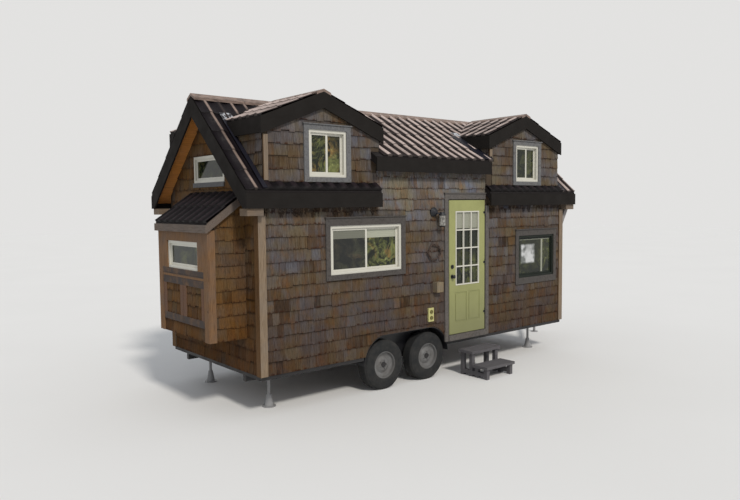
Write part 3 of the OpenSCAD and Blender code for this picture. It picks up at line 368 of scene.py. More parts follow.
def slab_material(name, under, under_dark, edge):
    """A roof slab: cedar boards where its face looks down, brightened as painted sunlight on the shaded
    underside, dark edge and top elsewhere.
    """
    n = Nodes(name)
    col, grain = wood(n, under, under_dark, "x", 0.1, 0.8)
    seams = n.math("FRACT", n.mul(n.axis(1), 11.0))
    col = n.mix(n.span(seams, 0.03, 0.0, 0.0, 0.8), col, times(under_dark, 0.3))
    col = n.mix(n.span(n.normal(2), -0.5, -0.2), col, n.mix(grain, edge, times(edge, 0.6)))
    n.bump(grain, 0.3, 0.003)
    return n.done(col, 0.75, spec=0.2)


def bump_board_material(name):
    """Cedar boards on the bump-out: grey outer fascias, a dark board below the window, and dark rails and
    red-brown stiles around the two panels."""
    n = Nodes(name)
    cedar, grain = wood(n, (0.180, 0.098, 0.046), (0.068, 0.034, 0.016), "z", 0.40)
    grey, grain_y = wood(n, (0.135, 0.105, 0.085), (0.058, 0.036, 0.024), "y", 0.4, 0.9)
    x = n.at(0)
    side = n.math("ABSOLUTE", n.add(n.axis(1), CY - (BUMP_Y + BUMP_W / 2)))
    fascia = n.add(n.span(x, -0.534, -0.530, 1.0, 0.0), n.span(side, 0.730, 0.732), True)
    z = n.at(2)
    inner = n.span(side, 0.600, 0.596)
    worn = n.mul(inner, n.span(n.noise(7.0, 4.0, 0.6), 0.34, 0.56, 0.45, 0.95))
    stiles = smooth_band(n, z, 0.684, 0.690, 1.078, 1.084)
    col = n.mix(n.mul(n.mul(stiles, inner), 0.6), cedar, (0.098, 0.052, 0.038))
    for z0, z1 in BUMP_RAILS:
        rail = smooth_band(n, z, z0 - 0.006, z0, z1, z1 + 0.004)
        col = n.mix(n.mul(rail, worn), col, (0.050, 0.042, 0.040))
    col = n.mix(fascia, col, grey)
    n.bump(n.add(grain, grain_y), 0.4, 0.003)
    return n.done(col, 0.8, spec=0.2)


def metal_roof_material(name, rib, pan, rib_streaks=0.5, every=1.0, crest=(0.30, 0.72), spec=0.3):
    """Aged corrugated sheet: pale ribs in painted sunlight, dark pans in painted shade, streaks, spots of
    dirt and painted shade below the laps.
    """
    n = Nodes(name)
    kind = n.attr("kind")
    streak = n.noise(1.0, 4.0, 0.65, n.scaled(30.0, 30.0, 5.0))
    spots = n.noise(30.0, 3.0, 0.6)
    big = n.noise(1.7, 3.0, 0.5)
    bright = n.mix(n.span(streak, 0.35, 0.7, 0.0, rib_streaks), rib, times(rib, 0.45))
    bright = n.mix(n.span(spots, 0.58, 0.75, 0.0, 0.4), bright, times(rib, 1.3))
    crest = n.span(kind, *crest)
    if every < 1.0:
        crest = n.mul(crest, n.span(n.attr("tone"), every, every + 0.05, 1.0, 0.1))
    # Painted light: the crests of the ribs are pale as if sunlit and the pans dark as painted shade. With
    # every below 1, only the ribs whose tone is under every get the pale crest.
    col = n.mix(crest, pan, bright)
    col = n.mix(n.span(big, 0.4, 0.7, 0.0, 0.42), col, times(pan, 0.8))
    # Painted shade just below each lap and along the lower end of the sheet.
    col = n.mix(n.mul(n.attr("lap"), 0.85), col, (0.006, 0.005, 0.005))
    n.bump(n.add(spots, n.mul(streak, 0.6)), 0.2, 0.004)
    return n.done(col, n.span(spots, 0.3, 0.8, 0.50, 0.75), spec=spec)


def corner_material(name):
    """Corner boards: pinkish tan with knots on the long sides, orange-brown on the ends of the house."""
    n = Nodes(name)
    pale, grain = wood(n, (0.215, 0.160, 0.108), (0.115, 0.078, 0.048), "z", 0.35)
    brown, _ = wood(n, (0.120, 0.064, 0.026), (0.055, 0.027, 0.011), "z", 0.2)
    col = n.mix(n.span(n.math("ABSOLUTE", n.normal(0)), 0.4, 0.6), pale, brown)
    n.bump(grain, 0.35, 0.003)
    return n.done(col, 0.8, spec=0.15)


def door_material(name):
    """Yellow-green door paint, duller and dirtier towards its foot."""
    n = Nodes(name)
    z = n.at(2)
    grain = n.noise(1.0, 3.0, 0.6, n.scaled(150.0, 150.0, 6.0))
    blot = n.noise(4.5, 5.0, 0.6)
    col = n.mix(n.span(z, 0.2, 1.1), (0.208, 0.212, 0.096), (0.300, 0.310, 0.122))
    col = n.mix(n.span(blot, 0.4, 0.75, 0.0, 0.25), col, (0.170, 0.170, 0.080))
    col = n.mix(n.span(grain, 0.42, 0.75, 0.0, 0.14), col, (0.180, 0.180, 0.075))
    n.bump(grain, 0.1, 0.002)
    return n.done(col, n.span(blot, 0.3, 0.8, 0.42, 0.6), spec=0.25)


def bracket_material(name):
    """Eave returns in tan boards and knee braces that have gone pale grey."""
    n = Nodes(name)
    tan, grain = wood(n, (0.165, 0.122, 0.086), (0.088, 0.060, 0.038), "x", 0.45)
    pale, _ = wood(n, (0.270, 0.255, 0.250), (0.150, 0.138, 0.130), "z", 0.4, knot=0.2)
    z = n.at(2)
    x = n.at(0)
    low = n.mul(n.span(z, BRACKET_Z - 0.002, BRACKET_Z - 0.004), n.span(x, L, L + 0.001))
    n.bump(grain, 0.35, 0.003)
    return n.done(n.mix(low, tan, pale), 0.8, spec=0.15)


def glare_sheet_material(name):
    """Bent flashing, dark with pale patches of painted glare."""
    n = Nodes(name)
    # Pale patches of painted glare on the dark sheet.
    worn = n.span(n.noise(13.0, 4.0, 0.65), 0.50, 0.56)
    n.bump(n.noise(20.0, 3.0), 0.5, 0.01)
    return n.done(n.mix(worn, (0.020, 0.019, 0.024), (0.420, 0.440, 0.470)), 0.5, spec=0.4)


def lantern_material(name):
    """Black metal with a pale ribbed glass jar between its cap and its foot."""
    n = Nodes(name)
    z = n.at(2)
    x = n.at(0)
    high = smooth_band(n, z, JAR_Z0 - 0.002, JAR_Z0, JAR_Z1, JAR_Z1 + 0.002)
    jar = n.mul(high, n.span(x, JAR_X - 0.002, JAR_X))
    ribs = n.span(n.math("FRACT", n.mul(x, 55.0)), 0.0, 0.25, 0.55, 1.0)
    cloud = n.span(n.noise(30.0, 3.0), 0.35, 0.65)
    flutes = n.mix(ribs, (0.35, 0.35, 0.35), (1.0, 1.0, 1.0))
    glass = n.mix(1.0, n.mix(cloud, (0.115, 0.110, 0.100), (0.340, 0.330, 0.300)), flutes, "MULTIPLY")
    col = n.mix(jar, n.mix(cloud, (0.008, 0.009, 0.012), (0.020, 0.022, 0.028)), glass)
    n.bump(cloud, 0.1, 0.002)
    return n.done(col, n.span(jar, 0.0, 1.0, 0.5, 0.15), spec=0.4)


def socket_material(name):
    """Pale yellow cover plate with two olive outlets that stand proud of it."""
    n = Nodes(name)
    y = n.at(1)
    dust = n.noise(40.0, 3.0)
    plate = n.mix(n.span(dust, 0.4, 0.7, 0.0, 0.4), (0.500, 0.475, 0.200), (0.300, 0.270, 0.110))
    n.bump(dust, 0.1, 0.002)
    return n.done(n.mix(n.span(y, -0.0352, -0.0350, 1.0, 0.0), plate, (0.120, 0.105, 0.030)), 0.5, spec=0.3)


def cap_material(name, light, dark):
    """Sheet metal ridge caps with a joint each 0.9 m."""
    n = Nodes(name)
    streak = n.noise(1.0, 4.0, 0.6, n.scaled(9.0, 9.0, 40.0))
    spots = n.noise(26.0, 3.0, 0.6)
    col = n.mix(n.span(streak, 0.35, 0.7), light, dark)
    col = n.mix(n.span(spots, 0.6, 0.78, 0.0, 0.4), col, times(light, 1.4))
    for axis in (0, 1):
        joint = n.math("FRACT", n.mul(n.add(n.axis(axis), 20.13), 1.1))
        col = n.mix(n.span(joint, 0.018, 0.0, 0.0, 0.85), col, (0.012, 0.010, 0.010))
    n.bump(n.add(spots, streak), 0.2, 0.004)
    return n.done(col, 0.55, spec=0.35)


def wheel_material(name, cx, cz):
    """Tyre, pale steel rim and dark bore, told apart by the distance from the axle."""
    n = Nodes(name)
    dx, dz = n.math("SUBTRACT", n.axis(0), cx), n.math("SUBTRACT", n.axis(2), cz)
    r = n.math("SQRT", n.add(n.mul(dx, dx), n.mul(dz, dz)))
    dust = n.noise(8.0, 4.0, 0.6)
    fine = n.noise(120.0, 2.0, 0.5)
    tyre = n.mix(n.span(dust, 0.4, 0.7, 0.0, 0.5), (0.014, 0.015, 0.016), (0.045, 0.042, 0.038))
    rings = n.math("FRACT", n.mul(r, 60.0))
    tyre = n.mix(n.span(rings, 0.0, 0.1, 0.35, 0.0), tyre, (0.006, 0.006, 0.006))
    rim = n.mix(n.span(dust, 0.35, 0.7, 0.0, 0.6), (0.150, 0.150, 0.150), (0.070, 0.062, 0.055))
    col = n.mix(n.span(r, RIM_R - 0.002, RIM_R + 0.002), rim, tyre)
    n.bump(n.add(n.mul(fine, 0.3), n.span(rings, 0.0, 0.2)), 0.3, 0.003)
    return n.done(col, n.span(r, RIM_R - 0.002, RIM_R + 0.002, 0.42, 0.85), spec=0.3)


def paint_material(name, color, rough=0.5, wear=0.25, grained=False, spec=0.4):
    """Paint or bare metal with blots and fine wear. grained lets the grain of boards along X show through."""
    n = Nodes(name)
    blot = n.noise(4.5, 5.0, 0.6)
    fine = n.noise(160.0, 2.0, 0.5)
    col = n.mix(n.span(blot, 0.35, 0.75, 0.0, wear), color, times(color, 0.62))
    col = n.mix(n.span(fine, 0.55, 0.8, 0.0, wear * 0.6), col, tuple(min(1.0, c * 1.5 + 0.02) for c in color))
    height = fine
    if grained:
        height = n.noise(1.0, 3.0, 0.6, n.scaled(6.0, 150.0, 150.0))
        col = n.mix(n.span(height, 0.4, 0.75, 0.0, 0.3), col, times(color, 0.55))
    n.bump(height, 0.14, 0.002)
    return n.done(col, n.span(blot, 0.3, 0.8, rough * 0.8, min(1.0, rough * 1.25)), spec=spec)


FRONT_RAMP = [(0.0, (0.036, 0.024, 0.017)), (0.2, (0.072, 0.048, 0.032)), (0.40, (0.104, 0.070, 0.045)),
              (0.58, (0.094, 0.075, 0.058)), (0.76, (0.124, 0.100, 0.078)), (0.90, (0.118, 0.114, 0.116)),
              (1.0, (0.160, 0.096, 0.053))]
FRONT_SILVER = (0.103, 0.096, 0.093)
WARM_RAMP = [(0.0, (0.060, 0.030, 0.012)), (0.3, (0.110, 0.056, 0.021)), (0.55, (0.155, 0.082, 0.030)),
             (0.8, (0.110, 0.076, 0.044)), (1.0, (0.215, 0.105, 0.032))]
M = {
    "front": shingle_material("shingles_weathered", FRONT_RAMP, 0.60, 0.50, FRONT_SILVER),
    "plain": shingle_material("shingles_weathered_plain", FRONT_RAMP, 0.60, 0.40, FRONT_SILVER, False),
    "grey_shingle": shingle_material("shingles_dormer", FRONT_RAMP, 0.75, 0.25, (0.128, 0.118, 0.108),
                                     False, False),
    "warm": shingle_material("shingles_warm", WARM_RAMP, 0.50, 0.50, (0.098, 0.074, 0.052), False),
    "tan": corner_material("board_corner"),
    "tan_x": bracket_material("board_eave_returns"),
    "grey": board_material("board_grey", (0.112, 0.100, 0.090), (0.055, 0.046, 0.039), "xz", 0.7, 0.85,
                           knot=0.3),
    "casing": casing_material("board_casing"),
    "cedar": bump_board_material("board_cedar"),
    # The cedar underside is brightened as painted sunlight.
    "soffit_painted_light": slab_material("roof_slab_painted_light", (0.560, 0.230, 0.052), (0.300, 0.110, 0.022), (0.014, 0.011, 0.011)),
    "fascia": paint_material("fascia_paint", (0.0163, 0.0143, 0.0130), 0.8, 0.30, True, 0.08),
    # Painted sunlight on the ribs and painted shade in the pans.
    "roof": metal_roof_material("roof_sheet_painted_light", (0.560, 0.460, 0.420), (0.015, 0.010, 0.010),
                                crest=(0.36, 0.66), spec=0.10),
    # A copy of the roof sheet in painted shade, for the steep skirts and the bump-out.
    "roof_shaded": metal_roof_material("roof_sheet_painted_shade", (0.018, 0.012, 0.015), (0.004, 0.003, 0.004),
                                     rib_streaks=0.7, spec=0.12),
    # A copy of the roof sheet in painted shade, with a few ribs in painted sunlight, for the left end of the
    # main roof.
    "roof_shaded_lit_ribs": metal_roof_material("roof_sheet_shade_and_lit_ribs", (0.300, 0.225, 0.190), (0.006, 0.004, 0.006),
                                     rib_streaks=0.6, every=0.45, crest=(0.78, 0.97), spec=0.15),
    "cap": cap_material("ridge_cap_sheet", (0.270, 0.195, 0.160), (0.085, 0.060, 0.050)),
    # Dark flashing sheet, also used as painted shadow on the middle roof.
    "flashing_and_shadow": paint_material("flashing_and_painted_shadow", (0.010, 0.010, 0.017), 0.5, 0.4, spec=0.2),
    "glare": glare_sheet_material("valley_sheet_painted_glare"),
    "steel": paint_material("chassis_steel", (0.018, 0.017, 0.018), 0.6, 0.6),
    "zinc": paint_material("zinc_steel", (0.26, 0.26, 0.265), 0.42, 0.5),
    "sheet_black": paint_material("fender_paint", (0.014, 0.014, 0.016), 0.35, 0.4),
    "white": paint_material("window_white", (0.57, 0.555, 0.485), 0.4, 0.10),
    "dark_frame": paint_material("window_dark", (0.014, 0.018, 0.014), 0.5, 0.2, spec=0.15),
    "door": door_material("door_paint"),
    "black": paint_material("black_fitting", (0.012, 0.012, 0.014), 0.4, 0.3),
    "interior": paint_material("interior_lining", (0.070, 0.052, 0.036), 0.85, 0.2, True, 0.1),
    "floor_wood": board_material("floor_boards", (0.20, 0.14, 0.09), (0.11, 0.07, 0.04), "x", 0.2),
    "step": board_material("step_boards", (0.105, 0.100, 0.108), (0.048, 0.044, 0.045), "x", 0.4, 0.85),
    "twig": board_material("wreath_twigs", (0.075, 0.048, 0.036), (0.030, 0.019, 0.014), "xz", 0.4, 0.85,
                           2.0),
    "planter": board_material("planter_boards", (0.225, 0.170, 0.096), (0.095, 0.066, 0.036), "z", 0.5),
    "lantern": lantern_material("lantern_metal_glass"),
    "sockets": socket_material("socket_plate_yellow"),
    "soil": board_material("planter_soil", (0.035, 0.026, 0.018), (0.015, 0.011, 0.008), "xz", 0.2, 0.95,
                           2.0),
}


def glass_material(name, tint, mottle, blinds, screens=(), reflection_patch=None, shade=None):
    """Window glass: dark inside with a mottled reflection of greenery, only faint above the height shade.
    blinds are areas (x0, x1, z0, z1, light) where a pale blind hangs behind the pane, screens areas
    (x0, x1, z0, z1) with an insect screen, and smear (x, z, half width, half height) is a pale reflection."""
    n = Nodes(name)
    leaves = n.noise(1.0, 5.0, 0.72, n.scaled(5.0, 5.0, 5.0), 1.2)
    patch = n.noise(1.3, 3.0, 0.6, None, 0.8)
    warm = n.noise(2.3, 3.0, 0.6, None, 1.0)
    x = n.at(0)
    z = n.at(2)
    lit = n.mul(n.span(leaves, 0.44, 0.62), n.span(patch, 0.40, 0.58, 0.25, 1.0))
    lit = n.mul(lit, n.span(x, 4.60, 4.75, 1.0, 0.40))
    if shade:
        lit = n.mul(lit, n.span(z, shade - 0.25, shade, 1.0, 0.12))
    col = n.mix(lit, tint, mottle)
    # Orange patches within the painted reflection.
    orange = n.mul(n.span(warm, 0.52, 0.62), n.span(x, 2.4, 2.6, 0.85, 0.15))
    col = n.mix(n.mul(lit, orange), col, (mottle[0] * 1.6, mottle[1] * 0.60, mottle[2] * 0.50))
    # Bright painted glints within the painted reflection.
    glints = n.span(n.noise(17.0, 3.0, 0.6), 0.60, 0.68, 0.0, 0.6)
    col = n.mix(n.mul(lit, glints), col, tuple(c * 2.0 + 0.03 for c in mottle))

    def between(value, lo, hi, soft=0.004):
        return smooth_band(n, value, lo - soft, lo, hi, hi + soft)

    def area(x0, x1, z0, z1):
        return n.mul(between(x, x0, x1), between(z, z0, z1))

    col = n.mix(n.span(x, 0.10, 0.05, 0.0, 0.6), col, (0.010, 0.013, 0.009))
    for a in screens:
        mesh = n.mix(n.span(leaves, 0.4, 0.7), (0.018, 0.019, 0.018), (0.036, 0.036, 0.032))
        col = n.mix(n.mul(area(*a), 0.85), col, mesh)
    # A pale painted reflection over part of a pane.
    if reflection_patch:
        sx, sz, rx, rz = reflection_patch
        wide = between(x, sx - rx * 0.8, sx + rx * 0.8, rx * 0.2)
        high = between(z, sz - rz * 0.8, sz + rz * 0.8, rz * 0.2)
        pale_reflection = n.mix(n.span(n.noise(4.0, 2.0), 0.46, 0.54), (0.16, 0.17, 0.16), (0.55, 0.56, 0.56))
        col = n.mix(n.mul(n.mul(wide, high), n.span(patch, 0.30, 0.42, 0.5, 1.0)), col, pale_reflection)
    # Painted shade at the foot of each fold of the blinds.
    fold_shade = n.span(n.math("FRACT", n.mul(z, 42.0)), 0.0, 0.3, 0.6, 1.0)
    for x0, x1, z0, z1, light in blinds:
        cloth = n.mix(fold_shade, times((0.180, 0.185, 0.145), light), times((0.330, 0.335, 0.265), light))
        col = n.mix(area(x0, x1, z0, z1), col, cloth)
    n.bsdf.inputs["Alpha"].default_value = 0.93
    return n.done(col, 0.06, spec=0.35)


M["glass"] = glass_material("window_glass", (0.009, 0.012, 0.007), (0.160, 0.175, 0.055),
                            [(1.02, 1.65, 1.630, 1.82, 0.48), (1.66, 2.30, 1.626, 1.80, 1.15),
                             (4.90, 5.90, 1.455, 1.520, 0.9), (5.56, 5.60, 0.80, 1.52, 0.9)],
                            screens=[(1.02, 1.65, 1.10, 1.82)], reflection_patch=(5.20, 1.22, 0.20, 0.17))
M["door_glass"] = glass_material("door_glass", (0.010, 0.013, 0.008), (0.095, 0.110, 0.028),
                                 [(3.30, 3.98, 1.700, 1.97, 0.9)], shade=1.50)

MADE_OF = {
    "steel": "chassis_rails cross_members tongue axles leaf_springs", "sheet_black": "fenders",
    "zinc": "coupler tongue_jack stands", "floor_wood": "floor_deck",
    "interior": "front_wall_left front_wall_right front_wall_over_door back_wall left_end_wall "
                "right_end_wall front_dormer_left front_dormer_right back_dormer_left back_dormer_right "
                "bump_out_walls",
    "soffit_painted_light": "main_roof_left main_roof_right middle_roof dormer_roof_left dormer_roof_right bump_out_roof",
    "fascia": "eave_boards rake_boards dormer_boards", "cap": "ridge_caps", "tan": "corner_boards",
    "casing": "window_casings", "white": "pale_window_frames door_lites", "dark_frame": "dark_window_frames",
    "glass": "window_glass", "cedar": "bump_out_boards", "grey": "door_frame", "door": "door_slab",
    "black": "frame_hinges door_hardware", "door_glass": "door_glass", "step": "step_treads step_frame",
    "tan_x": "eave_brackets",
    "lantern": "lantern", "twig": "wreath", "planter": "wall_planter", "sockets": "socket_plate",
}
node_mats = {node: mat for mat, nodes in MADE_OF.items() for node in nodes.split()}
for node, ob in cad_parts.items():
    ob.data.materials.clear()
    if node.startswith("wheel_"):
        lo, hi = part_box(node)
        ob.data.materials.append(wheel_material(node + "_rubber", (lo[0] + hi[0]) / 2, (lo[2] + hi[2]) / 2))
    else:
        ob.data.materials.append(M[node_mats[node]])

# Shingles

rng = random.Random(4033)
EXPOSURE, THICK, SLIVER = 0.153, 0.012, 2e-5
SHINGLE_W = (0.080, 0.250)


def clip_poly(poly, a, b, c):
    """The part of a 2D polygon where a*x + b*y <= c."""
    out = []
    for i, p in enumerate(poly):
        q = poly[(i + 1) % len(poly)]
        dp, dq = a * p[0] + b * p[1] - c, a * q[0] + b * q[1] - c
        if dp <= 0:
            out.append(p)
        if (dp < 0 < dq) or (dq < 0 < dp):
            t = dp / (dp - dq)
            out.append((p[0] + t * (q[0] - p[0]), p[1] + t * (q[1] - p[1])))
    return out


def area_of(poly):
    """Area of a 2D polygon."""
    return abs(sum(p[0] * q[1] - q[0] * p[1] for p, q in zip(poly, poly[1:] + poly[:1]))) / 2


def tone_for(r):
    return r.random() if r.random() < 0.16 else r.betavariate(4.0, 4.0)


def shingle_face(soup, box, holes, place, seed, planes=()):
    """Courses of shingles over a face drawn in its own plane (u along, v up). box and holes are rectangles
    (u0, u1, v0, v1). place(u, v, w) gives the world point at a height w off the face. The face also ends
    where a*u + b*v reaches c, for each (a, b, c) in planes."""
    r = random.Random(seed)
    u_lo, u_hi, v_lo, v_hi = box
    rows = int((v_hi - v_lo) / EXPOSURE) + 2
    for row in range(rows):
        v0 = v_lo + row * EXPOSURE
        u = u_lo - r.uniform(0.0, 0.1)
        while u < u_hi:
            w = r.uniform(*SHINGLE_W)
            u1 = u + w
            drop = r.choice((0.0, 0.0, 0.005, -0.007, 0.011)) + r.uniform(-0.003, 0.003)
            top = v0 + EXPOSURE + 0.004
            bottom = v0 + drop if row else v0
            gap = r.choice((0.0005, 0.0008, 0.0008, 0.0016))
            skew = r.uniform(-0.002, 0.002)
            poly = [(u + gap, bottom), (u1 - gap, bottom + skew), (u1 - gap, top), (u + gap, top)]
            butt = THICK * r.uniform(0.75, 1.25)
            tone = tone_for(r)
            u = u1
            poly = clip_poly(clip_poly(poly, -1, 0, -u_lo), 1, 0, u_hi)
            poly = clip_poly(clip_poly(poly, 0, -1, -v_lo), 0, 1, v_hi)
            for a, b, c in planes:
                poly = clip_poly(poly, a, b, c) if poly else poly
            parts = [poly] if len(poly) >= 3 else []
            for h in holes:
                nxt = []
                for q in parts:
                    qu, qv = [p[0] for p in q], [p[1] for p in q]
                    if max(qu) <= h[0] or min(qu) >= h[1] or max(qv) <= h[2] or min(qv) >= h[3]:
                        nxt.append(q)
                        continue
                    left = clip_poly(q, 1, 0, h[0])
                    right = clip_poly(q, -1, 0, -h[1])
                    mid = clip_poly(clip_poly(q, -1, 0, -h[0]), 1, 0, h[1])
                    below = clip_poly(mid, 0, 1, h[2]) if len(mid) >= 3 else []
                    above = clip_poly(mid, 0, -1, -h[3]) if len(mid) >= 3 else []
                    nxt += [k for k in (left, right, below, above) if len(k) >= 3]
                parts = nxt
            for q in parts:
                if area_of(q) < SLIVER:
                    continue
                up = [(p[1] - v0) / EXPOSURE for p in q]
                ring0 = [place(*p, 0.0) for p in q]
                ring1 = [place(*p, 0.003 + butt * (1.0 - 0.75 * t)) for p, t in zip(q, up)]
                soup.prism(ring0, ring1, tone, [min(1.0, max(0.0, t)) for t in up])


def on_front(u, v, w):
    return house(u, -w, v)


def on_back(u, v, w):
    return house(u, W + w, v)


def on_left(u, v, w):
    return house(-w, u, v)


def on_right(u, v, w):
    return house(L + w, u, v)


# Centre in x, sill, width, height, and the heights of the casing boards over and under it
WINS = {
    "long": (1.660, 1.162, 1.240, 0.640, 0.100, 0.070),
    "dark": (5.382, 0.828, 0.965, 0.703, 0.095, 0.105),
}


def win_hole(key):
    x, z, w, h, head, foot = WINS[key]
    side = w / 2 + CASING_W
    return x - side, x + side, z - foot, z + h + head + 0.014


# The arch over both wheels: centres in x, radius, height above the wall's foot, depth of the centres below it
ARCH_X, ARCH_R, ARCH_TOP, ARCH_DROP, ARCH_STEPS = (1.990, 2.830), 0.395, 0.262, 0.133, 14


def arch_holes():
    """The wheel arch as a stack of thin rectangles."""
    out = []
    for i in range(ARCH_STEPS):
        z0, z1 = ARCH_TOP * i / ARCH_STEPS, ARCH_TOP * (i + 1) / ARCH_STEPS
        half = math.sqrt(ARCH_R ** 2 - (z0 + ARCH_DROP) ** 2)
        out.append((ARCH_X[0] - half, ARCH_X[1] + half, z0 - 0.001, z1))
    return out


front, back, warm, dormers = Soup(), Soup(), Soup(), Soup()
for soup, place, is_front in ((front, on_front, True), (back, on_back, False)):
    holes = [win_hole("long"), win_hole("dark")] + arch_holes()
    if is_front:
        holes.append(DOOR_HOLE)
    holes.append((LOW_X0 - 3.0, LOW_X0, LOW_TOP, 3.0))
    holes.append((LOW_X1, LOW_X1 + 3.0, LOW_TOP, 3.0))
    shingle_face(soup, (CORNER_W, L - CORNER_W, 0.0, MID_TOP), holes, place, 11 if is_front else 12)
    for i, dx in enumerate(DORMER_X):
        x0, x1 = LEFT_CHEEK[i], RIGHT_CHEEK[i]
        z0 = main_h(0.0) + 0.012
        wx, side = dx + 0.070, DORMER_WIN / 2 + CASING_W
        holes = [(wx - side, wx + side, z0, DORMER_SILL + DORMER_WIN + 0.076),
                 (x0 - 0.01, x0 + CORNER_W * 0.8, 0.0, 4.0)]
        if i == 0:
            holes.append((MID_X0, x1 + 0.01, 2.500, mid_h(0) + 0.06))
        # The shingles stay below the roof's underside
        under = RIDGE - 0.112
        planes = [(DORMER_S, 1.0, under + DORMER_S * dx), (-DORMER_S, 1.0, under - DORMER_S * dx)]
        seed = 21 + i + (0 if is_front else 10)
        shingle_face(dormers, (x0, x1, z0, DORMER_TOP), holes, place, seed, planes)


def gable_planes(drop):
    return [(MAIN_S, 1.0, RIDGE - drop + MAIN_S * MID), (-MAIN_S, 1.0, RIDGE - drop - MAIN_S * MID)]


half_end = END_WIN_W / 2
end_hole = (MID - half_end - 0.004, MID + half_end + 0.004, END_SILL, END_SILL + END_WIN_H + 0.004)
sill_hole = (MID - half_end - 0.010, MID + half_end + 0.010, END_SILL - 0.060, END_SILL)
bump_hole = (BUMP_Y, BUMP_Y + BUMP_W, BUMP_Z, 2.255)
bump_roof_hole = (*BUMP_YS, 2.13, 2.262)
end_box, end_planes = (CORNER_W, W - CORNER_W, 0.0, GABLE_TOP), gable_planes(0.135)
shingle_face(warm, end_box, [end_hole, sill_hole, bump_hole, bump_roof_hole], on_left, 31, end_planes)
right_soup = Soup()
shingle_face(right_soup, end_box, [end_hole, sill_hole], on_right, 32, end_planes)


# Bump-out: its sides, its panels and the strip of board between them and the window's sill board
def bump_side(y, sign):
    def place(u, v, w):
        return house(-u, y - w * sign, v)
    return place


side_planes = [(BUMP_S, 1.0, BUMP_TOP - 0.091)]
for y, sign, seed in ((BUMP_Y, 1.0, 41), (BUMP_Y + BUMP_W, -1.0, 42)):
    shingle_face(warm, (0.012, BUMP_D - 0.070, BUMP_Z, 2.2), [], bump_side(y, sign), seed, side_planes)


def bump_front(u, v, w):
    return house(-BUMP_D - w, u, v)


inner0, inner1 = BUMP_Y - CASING_T + 0.120, BUMP_Y + BUMP_W + CASING_T - 0.120
half = (inner1 - inner0) / 2
panel_top = BUMP_SILL - BUMP_BOARD
panel_h = (panel_top - BUMP_Z) * PANEL_SHARE
panel_z0 = panel_top - panel_h
for s in (0, 1):
    u0 = inner0 + s * half + PANEL_RAIL
    panel_box = (u0, u0 + half - 2 * PANEL_RAIL, panel_z0 + PANEL_RAIL, panel_top - PANEL_RAIL)
    shingle_face(warm, panel_box, [], bump_front, 51 + s)
shingle_face(warm, (inner0, inner1, BUMP_Z, panel_z0 - 0.004), [], bump_front, 53)

band = Soup()
band.box(-BUMP_D - 0.024, -BUMP_D - 0.0005, inner0 + 0.0005, inner1 - 0.0005, 1.1725, 1.2195, 0.3)
band.build("bump_out_band", [M["cedar"]])

# Cheeks of the dormers
cheeks = Soup()


def cheek_face(x, sign, slope, top_dx, seed, flip):
    """Shingles on a cheek at x, from a long roof of this slope up to the dormer roof. flip is the back."""
    def place(u, v, w):
        return house(x + sign * w, W - u if flip else u, v)

    start, top = 0.012 if sign < 0 else 0.004, dormer_h(top_dx) - 0.104
    planes = [(slope, -1.0, -(RIDGE - slope * MID) - 0.004)]
    shingle_face(cheeks, (start, MID, 2.1, top), [], place, seed, planes)


CHEEKS = ((LEFT_CHEEK[0], -1.0, MAIN_S, -DL), (RIGHT_CHEEK[0], 1.0, MID_S, DR),
          (LEFT_CHEEK[1], -1.0, MID_S, -DL), (RIGHT_CHEEK[1], 1.0, MAIN_S, DR))
for flip in (False, True):
    for k, cheek in enumerate(CHEEKS):
        cheek_face(*cheek, 61 + k + (10 if flip else 0), flip)

front.build("front_shingles", [M["front"]])
back.build("back_shingles", [M["front"]])
dormers.build("dormer_shingles", [M["grey_shingle"]])
warm.build("end_shingles", [M["warm"]])
right_soup.build("right_end_shingles", [M["plain"]])
cheeks.build("cheek_shingles", [M["grey_shingle"]])

# Corrugated roofs

RIB, RIB_H, LAP, RIB_STEPS, SHEET_GAP = 0.190, 0.026, 0.36, 12, 0.003


def wave(t):
    """Height of the corrugation across the slope, 0 to 1: rounded ribs with flatter pans."""
    return (0.5 - 0.5 * math.cos(2 * math.pi * t)) ** 1.5


